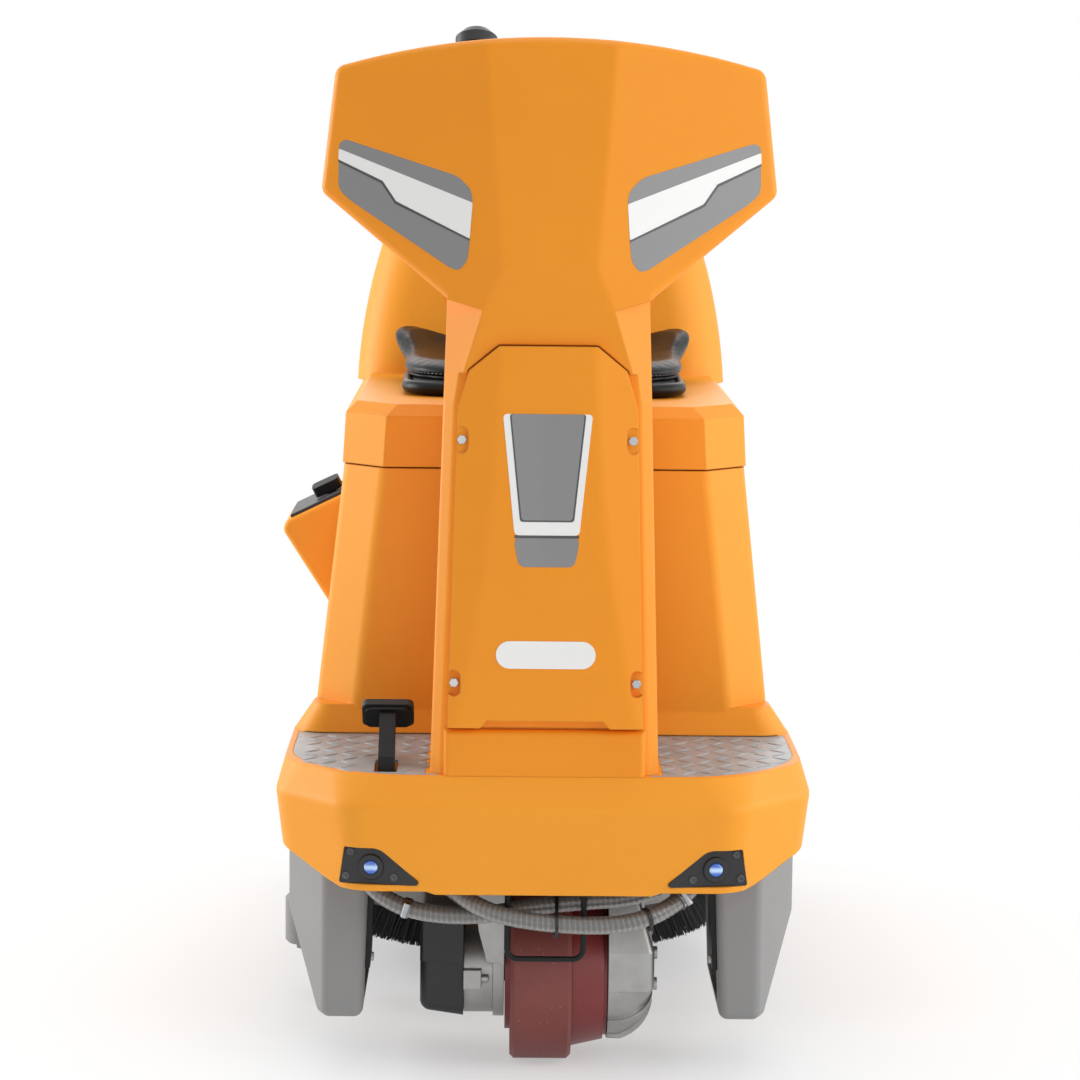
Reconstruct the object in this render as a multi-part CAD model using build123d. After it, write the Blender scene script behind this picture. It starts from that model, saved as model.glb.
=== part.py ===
# Ride-on floor scrubber: front drive wheel, one disc brush, rear squeegee, seat over the tanks.
# Millimetres. The front is -Y, the viewer's right (the driver's left) is +X, the floor is Z = 0.
from build123d import *
from math import cos, pi, radians, sin, tan
import os

# Clearances
FIT = 0.3                   # between pieces that sit beside each other
RUNNING = 0.05              # radial play of a shaft in its bore
OPEN_PLAY = 0.5             # radial play at the linkage's open pivot

# Lower body: bumper, footboard and solution tank in one moulding
FRONT_Y = -682.0            # bumper's front face
BODY_REAR_Y = 540.0
BUMPER_HALF = 330.0
BUMPER_LOW_Z = 257.0
BUMPER_WIDE_Z = 366.0
BUMPER_FACE_HALF = 238.0    # flat front between the corner facets
BUMPER_FACET_Y = 102.0      # how far back a corner facet runs
BUMPER_CORNER_R = 50.0
BUMPER_RIM_R = 95.0
BUMPER_DRAFT = 12.0         # how much narrower the bumper is at its lower edge
BUMPER_BEVEL = 9.0          # how much the bevel draws the side rim in
FRONT_BEVEL = 26.0          # how much the bevel draws the front rim in
BUMPER_ROUND = 18.0
BUMPER_WALL = 14.0
SKIRT_Z = 300.0             # lower edge of the sides
LAMP_ZONE_Z = 261.0         # lower edge below the lamps
LIP_HALF = 128.0            # half width of the lower lip in the middle
FOOT_Z = 400.0              # footboard
FOOT_THICK = 20.0
BODY_FRONT_Y = -371.0       # seat wall at the footboard
BODY_TOP_FRONT_Y = -392.0
BODY_LOW_HALF = 300.0
BODY_TOP_HALF = 258.0
BODY_CHAMFER = 52.0
BODY_ROUND = 18.0
BODY_TOP_Z = 745.0
SILL_REAR_Y = -280.0        # where the bumper's sill ends beside the seat wall
SILL_REAR_R = 60.0
SHOULDER_STEP = 13.0
SHOULDER_R = 40.0
SHOULDER_TOP_R = 25.0
WALL_DRAFT = 8.0            # how much the rear wall leans in
WALL_REAR = 14.0            # rear wall, in front of the tank's rear face
TRAY_REAR_Y = -335.0        # where the bumper's hollow meets the frame tunnel
SHOULDER_Z = 436.0          # where the sill meets the seat wall
TUNNEL_HALF = 285.0         # space for the frame under the tank
TUNNEL_Z = 345.0
BAY_HALF = 200.0            # battery bay
BAY_FRONT_Y = -325.0
BAY_REAR_Y = 205.0
BAY_FLOOR_Z = 380.0
TUB_WALL = 12.0
WATER_WALL = 14.0           # outer wall of the clean-water space round the battery tub
WATER_REAR_Y = 480.0
WATER_FLOOR_Z = 402.0

# Footplates
PLATE_THICK = 4.0
PLATE_HALF = 313.0
PLATE_FRONT_Y = -648.0
PLATE_REAR_Y = -374.0
PLATE_CORNER_R = 158.0
PLATE_INNER = 144.0         # beside the column
PLATE_TOE = 128.0           # beside the column's foot

# Console: column, neck and head in one moulding
COLUMN_LOW_HALF = 139.0
COLUMN_TOP_HALF = 122.0
COLUMN_TOP_Z = 1000.0
COLUMN_FRONT_Y = -640.0     # at the lower edge of the service cover
COLUMN_LEAN = 5.0           # degrees that the front face leans back
COLUMN_LOW_BACK_Y = -505.0
COLUMN_TOP_BACK_Y = -420.0
COLUMN_CHAMFER = 14.0
COLUMN_WALL = 12.0
HEAD_TIP_HALF = 277.5
HEAD_TIP_Z = 1098.0
HEAD_TOP_HALF = 260.0
HEAD_CORNER_Z = 1248.0
HEAD_APEX_Z = 1285.0
HEAD_NECK_HALF = 122.0
HEAD_NECK_Z = 972.0
HEAD_LOW_Z = 884.0
RIDGE_TOP = (77.0, -606.0, 1265.0)
RIDGE_WAIST = (57.0, -622.0, 1011.0)
WING_TIP_Y = -545.0
CHIN_Y = -612.0             # chin plane, at the top edge of the service cover
WING_BACK_Y = -470.0
HEAD_BACK_Y = -528.0
HEAD_TIP_ROUND = 16.0
RIDGE_ROUND = 26.0
HEAD_ROUND = 12.0
DASH_HALF = 150.0
DASH_TOP_Z = 1262.0
DASH_LOW_Y = -412.0
DASH_LOW_Z = 1062.0
DASH_ROUND = 10.0
COLUMN_ROUND = 9.0
SHAFT_BUSH_DROP = 142.0     # from the steering wheel down to the end of the dash bush
SHAFT_TUNNEL_R = 34.0
CONTROL_WELL = 32.0

# Service cover and the column's foot
COVER_LOW_Z = 458.0
COVER_HIGH = 459.8          # along the leaning face
COVER_SHOULDER = 430.6
COVER_LOW_HALF = 118.0
COVER_BEND = 385.0          # where the side edges bend inwards
COVER_BEND_HALF = 109.0
COVER_SHOULDER_HALF = 95.0
COVER_TOP_HALF = 59.0
COVER_DEPTH = 20.0
COVER_GAP = 2.0
FACE_LOW_HALF = 110.0       # flat front between the side facets
FACE_WAIST = 220.0
FACE_WAIST_HALF = 73.0
FACE_TOP_HALF = 57.0
FACET_SLOPE = 0.3           # how steeply a side facet falls back
FACET_REACH = 120.0         # half width that the side facets are drawn out to
FACET_TOP_X = 79.0          # column's corner facet: the chin's side edge and its height
FACET_TOP_Z = 960.0
FACET_WIDE = 20.0           # from the chin's side edge out to the column's front
FACET_LOW_X = 113.0         # and where the facet leaves the column's front
FACET_LOW_Z = 842.0
COVER_NOTCH_HALF = 70.0
COVER_NOTCH_HIGH = 9.0
SCREW_LOW_V = 54.0          # screw heights along the leaning face
SCREW_HIGH_V = 347.0
SCREW_EDGE = 6.5            # from the cover's side edge
SCREW_SEAT = 5.0            # thickness of the cover under a screw head
SCREW_POCKET = 32.0         # height of the recess round a screw
COVER_ROUND = 40.0          # soft creases beside the flat face
TOE_HALF = 122.0
TOE_DEPTH = 11.0
TOE_ROUND = 7.0

# Hex bolts that hold the cover and the guards
BOLT_HEAD_R = 5.8
BOLT_HEAD_HIGH = 4.0
BOLT_R = 3.0
BOLT_LONG = 12.0

# Corner lamps
LAMP_TURN = 9.0             # degrees that the lamp plates turn outwards
LAMP_X = 207.0
LAMP_Z = 290.0
LAMP_FLOOR_Y = -658.0       # pocket floor at the lamp's middle
LAMP_PLATE_THICK = 8.0
LAMP_CUP_WALL = 6.0         # rim and floor of the moulded cup behind a lamp
LAMP_BEZEL_R = 16.0
LAMP_BEZEL_HIGH = 3.0
LENS_R = 8.5
LENS_DEEP = 5.0
LAMP_SCREW_R = 4.5
LAMP_SCREW_HIGH = 1.6
LAMP_SCREW_SHANK_R = 2.0
LAMP_SCREW_LONG = 6.0
LAMP_SCREW_SPOTS = ((-25.5, 18.0), (-31.0, -12.0), (28.0, -12.0))
LENS_ROUND = 3.0

# Steering
DRIVE_Y = -465.0            # steering axis of the drive unit
GEAR_MODULE = 3.0
RING_TEETH = 64
PINION_TEETH = 16
GEAR_BACKLASH = 1.2
GEAR_LOW_Z = 320.0
GEAR_HIGH = 16.0
GEAR_WEB = 8.0
RING_RIM = 12.0
WHEEL_Y = -372.0            # middle of the steering wheel
WHEEL_Z = 1203.0
WHEEL_TILT = 25.0
WHEEL_R = 138.0
WHEEL_RIM_R = 13.0
WHEEL_HUB_R = 34.0
WHEEL_HUB_HIGH = 34.0
SPOKE_WIDE = 26.0
SPOKE_THICK = 9.0
KNOB_ANGLE = 131.3          # place of the spinner knob on the rim at rest
KNOB_R = 26.0
KNOB_HIGH = 52.0            # top of the knob above the rim's middle
KNOB_BODY = 34.0
KNOB_PIN_R = 6.0
SHAFT_R = 14.0
LOWER_SHAFT_R = 11.0
JOINT_BALL_R = 20.0
JOINT_CUP_R = 27.0

# Frame
RAIL_X = 165.0
RAIL_WIDE = 40.0
RAIL_LOW_Z = 300.0
RAIL_FRONT_Y = -550.0
RAIL_REAR_Y = 515.0
PIVOT_PLATE_THICK = 11.0    # plate that carries the steering bearing
PIVOT_PLATE_FRONT_Y = -560.0
PIVOT_PLATE_REAR_Y = -345.0
NOSE_FRONT_Y = -645.0
NOSE_THICK = 6.0
OUTRIGGER_X = 298.0
OUTRIGGER_FRONT_Y = -545.0
OUTRIGGER_REAR_Y = -345.0
CROSS_WIDE = 40.0
BEARING_R = 90.0
BEARING_BORE_R = 60.0
BEARING_HIGH = 24.0

# Drive unit
DRIVE_R = 115.0
TYRE_WIDE = 77.0
TYRE_BORE_R = 82.0
TYRE_BEVEL = 5.0
HUB_CONE_R = 99.0
HUB_CONE_END_R = 90.0
HUB_CONE_X = 79.0
HUB_FACE_X = 83.5
HUB_DISC_R = 78.0
HUB_DISC_THICK = 6.5
STUB_R = 18.0
FORK_ARM_THICK = 14.0
FORK_ARM_R = 62.0
FORK_TOP_Z = 262.0
FORK_LOW_Z = 240.0
FORK_HALF_Y = 62.0
FORK_RIB_X = -84.0
MOTOR_R = 57.0
MOTOR_LONG = 37.0
MOTOR_COVER_X = -152.0
MOTOR_COVER_LOW_Z = 64.0
MOTOR_COVER_TOP_Z = 203.0
MOTOR_COVER_HALF_Y = 61.0
GEAR_CASE_R = 87.0
GEAR_CASE_X = 142.0
GEAR_CASE_TOP_X = 118.0     # drawn in above, so that the turning unit clears the hoses
GEAR_CASE_GAP = 1.0
GEAR_CASE_ROUND = 9.0
GEAR_CASE_RIBS = 5
GEAR_RIB_HIGH = 4.0
GEAR_RIB_THICK = 5.0
FORK_RIB_DEEP = 20.0
MOTOR_COVER_ROUND = 14.0
TOW_ROD_R = 3.5
TOW_Y = -637.0
TOW_LEFT_X = -43.0
TOW_RIGHT_X = 50.0
TOW_Z = 170.0
TOW_BEND_R = 13.0

# Guards beside the drive wheel
GUARD_INNER_X = 213.0
GUARD_LOW_INNER_X = 222.0
GUARD_EDGE_X = 271.0
GUARD_OUTER_X = 320.0
GUARD_LOW_OUTER_X = 277.0
GUARD_FRONT_Y = -575.0
GUARD_SIDE_Y = -465.0
GUARD_REAR_Y = -340.0
GUARD_LOW_Z = 76.0
GUARD_WAIST_Z = 192.0
GUARD_TOP_Z = 294.0
GUARD_ROUND = 12.0
GUARD_WALL = 8.0
GUARD_BRACKET_THICK = 6.0
GUARD_BOLT_Y = -553.0
GUARD_BOLT_Z = 150.0

# Front hoses
HOSE_R = 11.0
HOSE_BORE_R = 8.5
HOSE_ROOF_Z = FOOT_Z - FOOT_THICK
TIE_WIDE = 4.5
TIE_THICK = 1.6
TIE_HEAD = 5.0
TIE_BOTH_X = 17.0
TIE_X = 127.5
CLAMP_WIDE = 9.0
CLAMP_THICK = 1.5
CLAMP_SCREW_R = 4.0
CLAMP_SUPPLY_X = -166.0
CLAMP_RETURN_X = 168.0

# Accelerator pedal
PEDAL_X = -193.0
PEDAL_PIVOT_Y = -597.0
PEDAL_PIVOT_Z = 362.0
PEDAL_PIN_R = 5.0
PEDAL_ARM_WIDE = 20.0
PEDAL_PAD_WIDE = 64.0
PEDAL_PAD_LONG = 40.0
PEDAL_PAD_THICK = 9.0
PEDAL_PLATE_THICK = 5.0
PAD_GROOVES = 5
PEDAL_SLOPE = 52.0          # degrees between the pad and the floor
PEDAL_PAD_Y = -540.0
PEDAL_PAD_Z = 453.0
SLOT_WIDE = 28.0
SLOT_FRONT_Y = -632.0
SLOT_REAR_Y = -556.0

# Brush head, drawn raised
BRUSH_X = -20.0
BRUSH_Y = 62.0
BRUSH_R = 285.0
BRUSH_TIP_Z = 66.0
BRUSH_PLATE_R = 262.0
BRUSH_PLATE_THICK = 14.0
BRISTLE_HIGH = 34.0
BACKING_THICK = 6.0
STRAND_R = 3.4
STRAND_PITCH = 23.0
STRAND_ROW = 24.0
STRAND_FIRST_R = 80.0
DECK_R = 290.0
DECK_Z = 150.0
DECK_THICK = 8.0
DECK_SKIRT_HIGH = 24.0
DECK_HOLE_R = 48.0
BRUSH_HUB_R = 40.0
BRUSH_SHAFT_R = 12.0
BRUSH_SHAFT_TOP_Z = 175.0
BRUSH_MOTOR_R = 62.0
BRUSH_MOTOR_HIGH = 140.0
ROLLER_X = -316.0
ROLLER_Y = -190.0
ROLLER_R = 27.0
ROLLER_LOW_Z = 76.0
ROLLER_HIGH = 66.0
ROLLER_PIN_R = 6.0
ROLLER_ARM_Z = 145.0
ROLLER_ARM_THICK = 8.0
ROLLER_ARM_HALF = 16.0

# Lift linkage: parallel arms and one upper link
ARM_X = 110.0
ARM_THICK = 10.0
LINK_THICK = 12.0
EAR_THICK = 8.0
PIVOT_Y = -290.0
PIVOT_Z = 258.0
LINK_RISE = 40.0            # upper pivots above the lower ones
DECK_PIVOT_Y = -70.0
DECK_PIVOT_Z = 200.0
PIN_R = 6.0
ARM_EYE_R = 13.0
ARM_TUBE_R = 9.0
ARM_TUBE_SHARE = 0.45       # place of the cross tube along the arms

# Rear wheels
REAR_AXLE_Y = 420.0
REAR_R = 105.0
REAR_INNER_X = 180.0
REAR_WIDE = 60.0
AXLE_R = 12.0
AXLE_PLATE_THICK = 10.0

# Squeegee, drawn raised
LIFT_Y = 330.0
LIFT_Z = 225.0
LIFT_EAR_X = 56.0
SWING_Y = 575.0
SWING_PIN_R = 10.0
SWING_BOSS_R = 24.0
SWING_ARM_Z = 196.0
SWING_ARM_THICK = 16.0
SPIGOT_R = 25.0
SPIGOT_BORE_R = 21.0
SPIGOT_LAND = 40.0           # where a hose cuff sits
SPIGOT_COLLAR_R = 29.0       # shoulder that stops the cuff
SQUEEGEE_HALF = 350.0
SQUEEGEE_MID_Y = 650.5
SQUEEGEE_END_Y = 613.5
SQUEEGEE_HALF_DEEP = SPIGOT_R + 1
BEAM_LOW_Z = 78.0
BEAM_TOP_Z = 118.0
BLADE_THICK = 5.0
BLADE_LOW_Z = 48.0
BLADE_TOP_Z = 108.0
CLAMP_KNOB_R = 17.0
CLAMP_KNOB_HIGH = 26.0
CLAMP_KNOB_X = 78.0
CLAMP_STUD_R = 5.0
CLAMP_STUD_LONG = 20.0
BRACKET_HALF = 50.0
BRACKET_THICK = 8.0

# Recovery tank with the seat deck
TANK_GAP = 2.0
TANK_LOW_HALF = 260.0
TANK_TOP_HALF = 242.0
TANK_FRONT_Y = -393.0
TANK_EDGE_Z = 812.0
SEAT_DECK_Z = 826.0
TANK_CHAMFER = 54.0
BACK_LOW_HALF = 264.0
BACK_MIDDLE_HALF = 250.0
BACK_TOP_HALF = 196.0
BACK_FRONT_Y = 112.0
BACK_TOP_FRONT_Y = 160.0
BACK_MIDDLE_Z = 930.0
BACK_TOP_Z = 1100.0
BACK_REAR_Y = 538.0
BACK_TOP_REAR_Y = 505.0
BACK_CORNER_R = 70.0
BACK_ROUND = 38.0
TANK_PIVOT_Y = 520.0
TANK_PIVOT_Z = 762.0
TANK_LUG_X = 150.0
TANK_LUG_THICK = 18.0
LUG_R = 12.0
TANK_RELIEF_Y = 492.0
TANK_RELIEF_Z = 768.0
LID_HALF = 150.0
LID_FRONT_Y = 200.0
LID_REAR_Y = 440.0
LID_THICK = 14.0
LID_PLUG = 8.0
TANK_FLOOR_Z = 832.0
TANK_WALL = 14.0
OPENING_HALF = 122.0
OPENING_FRONT_Y = 228.0
OPENING_REAR_Y = 412.0
LID_PIN_R = 4.0
LID_CORNER_R = 18.0
LID_BARREL_HALF = 60.0
LID_POST = 20.0
SUCTION_X = 70.0
SUCTION_Z = 1040.0
DRAIN_X = -80.0
DRAIN_Z = 905.0
TANK_SPIGOT_END_Y = 578.0
VACUUM_R = 74.0
VACUUM_HIGH = 56.0
VACUUM_Y = 300.0

# Seat
SEAT_FRONT_Y = -268.0
SEAT_REAR_Y = 96.0
SEAT_HALF = 186.0
SEAT_BASE_HIGH = 20.0
SEAT_CUSHION_HIGH = 25.0
SEAT_SWELL = 13.0
SEAT_CORNER_R = 44.0
SEAT_CROWN_R = 3000.0
HORN_HIGH = 51.0            # above the seat base
HORN_OUT = 19.0             # beyond the pad's side
HORN_IN = 34.0
HORN_LONG = 170.0
HORN_RISE = 90.0            # length of the horn's sloping front
HORN_END_Y = 76.0
HORN_ROUND = 6.0

# Lever pod on the driver's right
POD_FRONT_Y = -226.0
POD_REAR_Y = -50.0
POD_TIP = (-350.0, 651.0)
POD_TOP = (-262.0, 694.0)
POD_LOW = (-280.0, 542.0)
POD_ROUND = 14.0
GATE_THICK = 4.0
LEVER_X = -282.0
LEVER_PIVOT_Y = -140.0
LEVER_PIVOT_Z = 607.0
LEVER_THICK = 10.0
LEVER_PIN_R = 6.0
LEVER_LEAN = 12.5
LEVER_GRIP_WIDE = 38.0
LEVER_GRIP_START = 4.0      # along the pod's slope
LEVER_GRIP_LIFT = 9.0       # above the slope
LEVER_GRIP_HIGH = 14.0
LEVER_GRIP_ROUND = 6.0
LEVER_HALF_WIDE = 9.0
LEVER_EYE_R = 14.0
LEVER_PIN_LONG = 32.0
LEVER_SLOT = 34.0           # half length of the slot
GATE_START = 4.0
GATE_END = 80.0
LEVER_GRIP_LONG = 24.0

# Controls on the dash
PANEL_HALF = 132.0
PANEL_START = 60.0          # along the dash slope, from its top edge
PANEL_END = 160.0
PANEL_THICK = 5.0
DISPLAY_HALF = 46.0
DISPLAY_S = 104.0
STOP_X = 92.0
STOP_S = 128.0
STOP_R = 19.0
STOP_STEM_R = 10.0
STOP_TRAVEL = 5.0
STOP_HIGH = 14.0
KEY_X = -92.0
KEY_R = 11.0
KEY_HIGH = 8.0
KEY_STEM_R = 8.0
KEY_BOW = 16.0

# Batteries
BATTERY_WIDE = 188.0
BATTERY_LONG = 250.0
BATTERY_HIGH = 262.0
BATTERY_GAP = 6.0
TERMINAL_R = 9.0
TERMINAL_HIGH = 14.0


# Shared helpers
def block(x0, x1, y0, y1, z0, z1):
    return Pos((x0 + x1) / 2, (y0 + y1) / 2, (z0 + z1) / 2) * Box(x1 - x0, y1 - y0, z1 - z0)


def prism_x(points, x0, x1):
    """An outline of (y, z) points carried along X."""
    face = make_face(Polyline(*[(x0, y, z) for y, z in points], close=True))
    return extrude(face, amount=x1 - x0, dir=(1, 0, 0))


def prism_y(points, y0, y1):
    """An outline of (x, z) points carried along Y."""
    face = make_face(Polyline(*[(x, y0, z) for x, z in points], close=True))
    return extrude(face, amount=y1 - y0, dir=(0, 1, 0))


def prism_z(points, z0, z1):
    """An outline of (x, y) points carried along Z."""
    face = make_face(Polyline(*[(x, y, z0) for x, y in points], close=True))
    return extrude(face, amount=z1 - z0, dir=(0, 0, 1))


def rod(start, end, radius):
    """A round bar between two points."""
    axis = Vector(end) - Vector(start)
    plane = Plane(origin=start, z_dir=axis)
    return extrude(plane * Circle(radius), amount=axis.length)


def turned_x(profile, y, z):
    """A closed profile of (x, radius) points turned about the line along X through (y, z)."""
    face = make_face(Polyline(*[(x, y, z + r) for x, r in profile], close=True))
    return revolve(face, axis=Axis((0, y, z), (1, 0, 0)))


def turned_z(profile, x, y):
    """A closed profile of (radius, z) points turned about the upright line through (x, y)."""
    face = make_face(Polyline(*[(x + r, y, z) for r, z in profile], close=True))
    return revolve(face, axis=Axis((x, y, 0), (0, 0, 1)))


def trimmed(shape, a, b, c, keep):
    """The part of a shape on the same side of the plane through a, b and c as the point keep."""
    a, b, c, keep = Vector(a), Vector(b), Vector(c), Vector(keep)
    normal = (b - a).cross(c - a).normalized()
    if normal.dot(keep - a) > 0:
        normal = -normal
    return split(shape, bisect_by=Plane(origin=a, z_dir=normal), keep=Keep.BOTTOM)


def mirrored(shape):
    return mirror(shape, about=Plane.YZ)


def rounded_plan(half, front, rear, front_r, rear_r):
    """A plan outline with rounded corners at the front and the rear."""
    plan = make_face(Polyline((-half, rear), (-half, front), (half, front), (half, rear), close=True))
    plan = fillet(plan.vertices().group_by(Axis.Y)[0], front_r)
    return fillet(plan.vertices().group_by(Axis.Y)[-1], rear_r)


def chamfered_plan(half, front, rear, chamfer_front):
    """A plan outline with the two front corners cut off."""
    return make_face(Polyline((-half, rear), (-half, front + chamfer_front), (-half + chamfer_front, front),
                              (half - chamfer_front, front), (half, front + chamfer_front), (half, rear),
                              close=True))


def at_height(z, plan):
    return Pos(0, 0, z) * plan


def upright_edges(shape):
    return shape.edges().filter_by(lambda e: abs(e.tangent_at(0.5).Z) > 0.7)


def hex_bolt(place):
    """A hex bolt whose head stands on the plane place, with its shank behind it."""
    head = extrude(place * RegularPolygon(BOLT_HEAD_R, 6), amount=BOLT_HEAD_HIGH)
    return head + extrude(place * Circle(BOLT_R), amount=-BOLT_LONG)


def bolt_hole(place):
    return extrude(place * Circle(BOLT_R + FIT), amount=-(BOLT_LONG + 1))


# Planes and places that several pieces share
COVER_PLANE = Plane(origin=(0, COLUMN_FRONT_Y, COVER_LOW_Z), x_dir=(1, 0, 0),
                    z_dir=(0, -cos(radians(COLUMN_LEAN)), sin(radians(COLUMN_LEAN))))
STEER_AXIS = Vector(0, sin(radians(WHEEL_TILT)), cos(radians(WHEEL_TILT)))
WHEEL_MIDDLE = Vector(0, WHEEL_Y, WHEEL_Z)
WHEEL_PLANE = Plane(origin=WHEEL_MIDDLE, x_dir=(1, 0, 0), z_dir=STEER_AXIS)
PINION_Y = DRIVE_Y - GEAR_MODULE * (RING_TEETH - PINION_TEETH) / 2
JOINT_DROP = (WHEEL_Y - PINION_Y) / STEER_AXIS.Y
JOINT_MIDDLE = WHEEL_MIDDLE - STEER_AXIS * JOINT_DROP
DASH_TOP = Vector(0, HEAD_BACK_Y, DASH_TOP_Z)
DASH_DOWN = (Vector(0, DASH_LOW_Y, DASH_LOW_Z) - DASH_TOP).normalized()
DASH_NORMAL = Vector(1, 0, 0).cross(DASH_DOWN)
TANK_BOTTOM_Z = BODY_TOP_Z + TANK_GAP
LINK_PIVOT_Z = PIVOT_Z + LINK_RISE
DECK_LINK_Z = DECK_PIVOT_Z + LINK_RISE
PLATE_FLOOR_Z = FOOT_Z - PLATE_THICK
BRUSH_PLATE_Z = BRUSH_TIP_Z + BRISTLE_HIGH + BACKING_THICK
DRIVE_Z = DRIVE_R


def dash_plane(x, s):
    """A plane on the dash slope, s down from its top edge, facing the driver."""
    return Plane(origin=DASH_TOP + DASH_DOWN * s + Vector(x, 0, 0), x_dir=(1, 0, 0), z_dir=DASH_NORMAL)


def column_front_at(z):
    return COLUMN_FRONT_Y + (z - COVER_LOW_Z) * tan(radians(COLUMN_LEAN))


def cover_half_at(v):
    """Half width of the service cover at a height v along the leaning face."""
    return COVER_LOW_HALF + (COVER_BEND_HALF - COVER_LOW_HALF) * v / COVER_BEND


def cover_screw_planes():
    """Where the four cover screws sit, just inside the cover's side edges."""
    places = []
    for v in (SCREW_LOW_V, SCREW_HIGH_V):
        for side in (-1, 1):
            u = side * (cover_half_at(v) - SCREW_EDGE)
            places.append(Plane(COVER_PLANE.location * Pos(u, v, 0)))
    return places


def cover_outline(grow):
    """The service cover's outline on its own plane, grown or shrunk all round."""
    right = [(COVER_LOW_HALF, 0), (COVER_BEND_HALF, COVER_BEND), (COVER_SHOULDER_HALF, COVER_SHOULDER),
             (COVER_TOP_HALF, COVER_HIGH)]
    left = [(-u, v) for u, v in reversed(right)]
    outline = make_face(Polyline(*right, *left, close=True))
    if grow == 0:
        return outline
    return offset(outline, amount=grow, kind=Kind.INTERSECTION)


# Lower body
def bumper_plan(draw_side, draw_front, corner_r):
    """The bumper in plan: a flat front between two corner facets."""
    half = BUMPER_HALF - draw_side
    front = FRONT_Y + draw_front
    rear = SILL_REAR_Y - draw_side
    face_half = BUMPER_FACE_HALF - draw_side
    plan = make_face(Polyline((-half, rear), (-half, front + BUMPER_FACET_Y), (-face_half, front),
                              (face_half, front), (half, front + BUMPER_FACET_Y), (half, rear), close=True))
    plan = fillet([v for v in plan.vertices() if v.Y < rear - 1], corner_r)
    return fillet(plan.vertices().group_by(Axis.Y)[-1], SILL_REAR_R - draw_side)


def body_shell():
    """Bumper with its bevel, the shoulder behind the footwell and the tapering seat wall."""
    low = at_height(BUMPER_LOW_Z, bumper_plan(BUMPER_DRAFT, BUMPER_DRAFT, BUMPER_CORNER_R))
    wide = at_height(BUMPER_WIDE_Z, bumper_plan(0, 0, BUMPER_CORNER_R))
    rim = at_height(FOOT_Z, bumper_plan(BUMPER_BEVEL, FRONT_BEVEL, BUMPER_RIM_R))
    sill = loft([low, wide]) + loft([wide, rim])
    crease = sill.edges().filter_by_position(Axis.Z, BUMPER_WIDE_Z - 0.1, BUMPER_WIDE_Z + 0.1)
    sill = fillet(crease, BUMPER_ROUND)
    shoulder_low = rounded_plan(BUMPER_HALF - BUMPER_BEVEL, BODY_FRONT_Y - SHOULDER_STEP,
                                SILL_REAR_Y - BUMPER_BEVEL, SHOULDER_R, SHOULDER_R)
    shoulder_top = rounded_plan(BODY_LOW_HALF - 4, BODY_FRONT_Y - 1, SILL_REAR_Y - 2 * SHOULDER_STEP,
                                SHOULDER_TOP_R, SHOULDER_TOP_R)
    shoulder = loft([at_height(FOOT_Z - 1, shoulder_low), at_height(SHOULDER_Z, shoulder_top)])
    wall_z = FOOT_Z - FOOT_THICK
    wall_rear = BODY_REAR_Y - WALL_REAR
    wall_plan = chamfered_plan(BODY_LOW_HALF, BODY_FRONT_Y, wall_rear, BODY_CHAMFER)
    top_plan = chamfered_plan(BODY_TOP_HALF, BODY_TOP_FRONT_Y, wall_rear - WALL_DRAFT, BODY_CHAMFER)
    wall = loft([at_height(wall_z, wall_plan), at_height(BODY_TOP_Z, top_plan)], ruled=True)
    wall += extrude(at_height(SKIRT_Z - 10, wall_plan), amount=wall_z - SKIRT_Z + 10)
    wall = fillet(upright_edges(wall), BODY_ROUND)
    return sill + shoulder + wall


def pod_point(along, above):
    """A point of the pod's sloping top: along from the body outwards, above square to it."""
    run = Vector(POD_TIP[0] - POD_TOP[0], 0, POD_TIP[1] - POD_TOP[1]).normalized()
    up = Vector(run.Z, 0, -run.X)
    point = Vector(POD_TOP[0], 0, POD_TOP[1]) + run * along + up * above
    return (point.X, point.Z)


def lever_pod():
    pod = prism_y([POD_TOP, POD_TIP, POD_LOW, (-BODY_TOP_HALF + 6, POD_LOW[1] - 10),
                   (-BODY_TOP_HALF + 6, POD_TOP[1])], POD_FRONT_Y, POD_REAR_Y)
    tip = pod.edges().filter_by(lambda e: abs(e.center().X - POD_TIP[0]) < 1)
    pod = fillet(tip, POD_ROUND)
    outer = pod.edges().filter_by(lambda e: e.center().X < POD_LOW[0] - 12 and abs(e.tangent_at(0.5).Y) < 0.1)
    return fillet(outer, POD_ROUND / 2)


def under_body():
    """Everything that is open under the footboard and the tank: bumper tray and frame tunnel."""
    low_draw = BUMPER_DRAFT + BUMPER_WALL
    low = at_height(BUMPER_LOW_Z - 1, bumper_plan(low_draw, low_draw, BUMPER_CORNER_R))
    roof = at_height(FOOT_Z - FOOT_THICK, bumper_plan(BUMPER_WALL, FRONT_BEVEL + BUMPER_WALL / 2, BUMPER_CORNER_R))
    tray = loft([low, roof]) & block(-BUMPER_HALF, BUMPER_HALF, FRONT_Y, TRAY_REAR_Y, 0, FOOT_Z)
    tunnel = block(-TUNNEL_HALF, TUNNEL_HALF, TRAY_REAR_Y - 1, BODY_REAR_Y + 1, 0, TUNNEL_Z)
    return tray + tunnel


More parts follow.
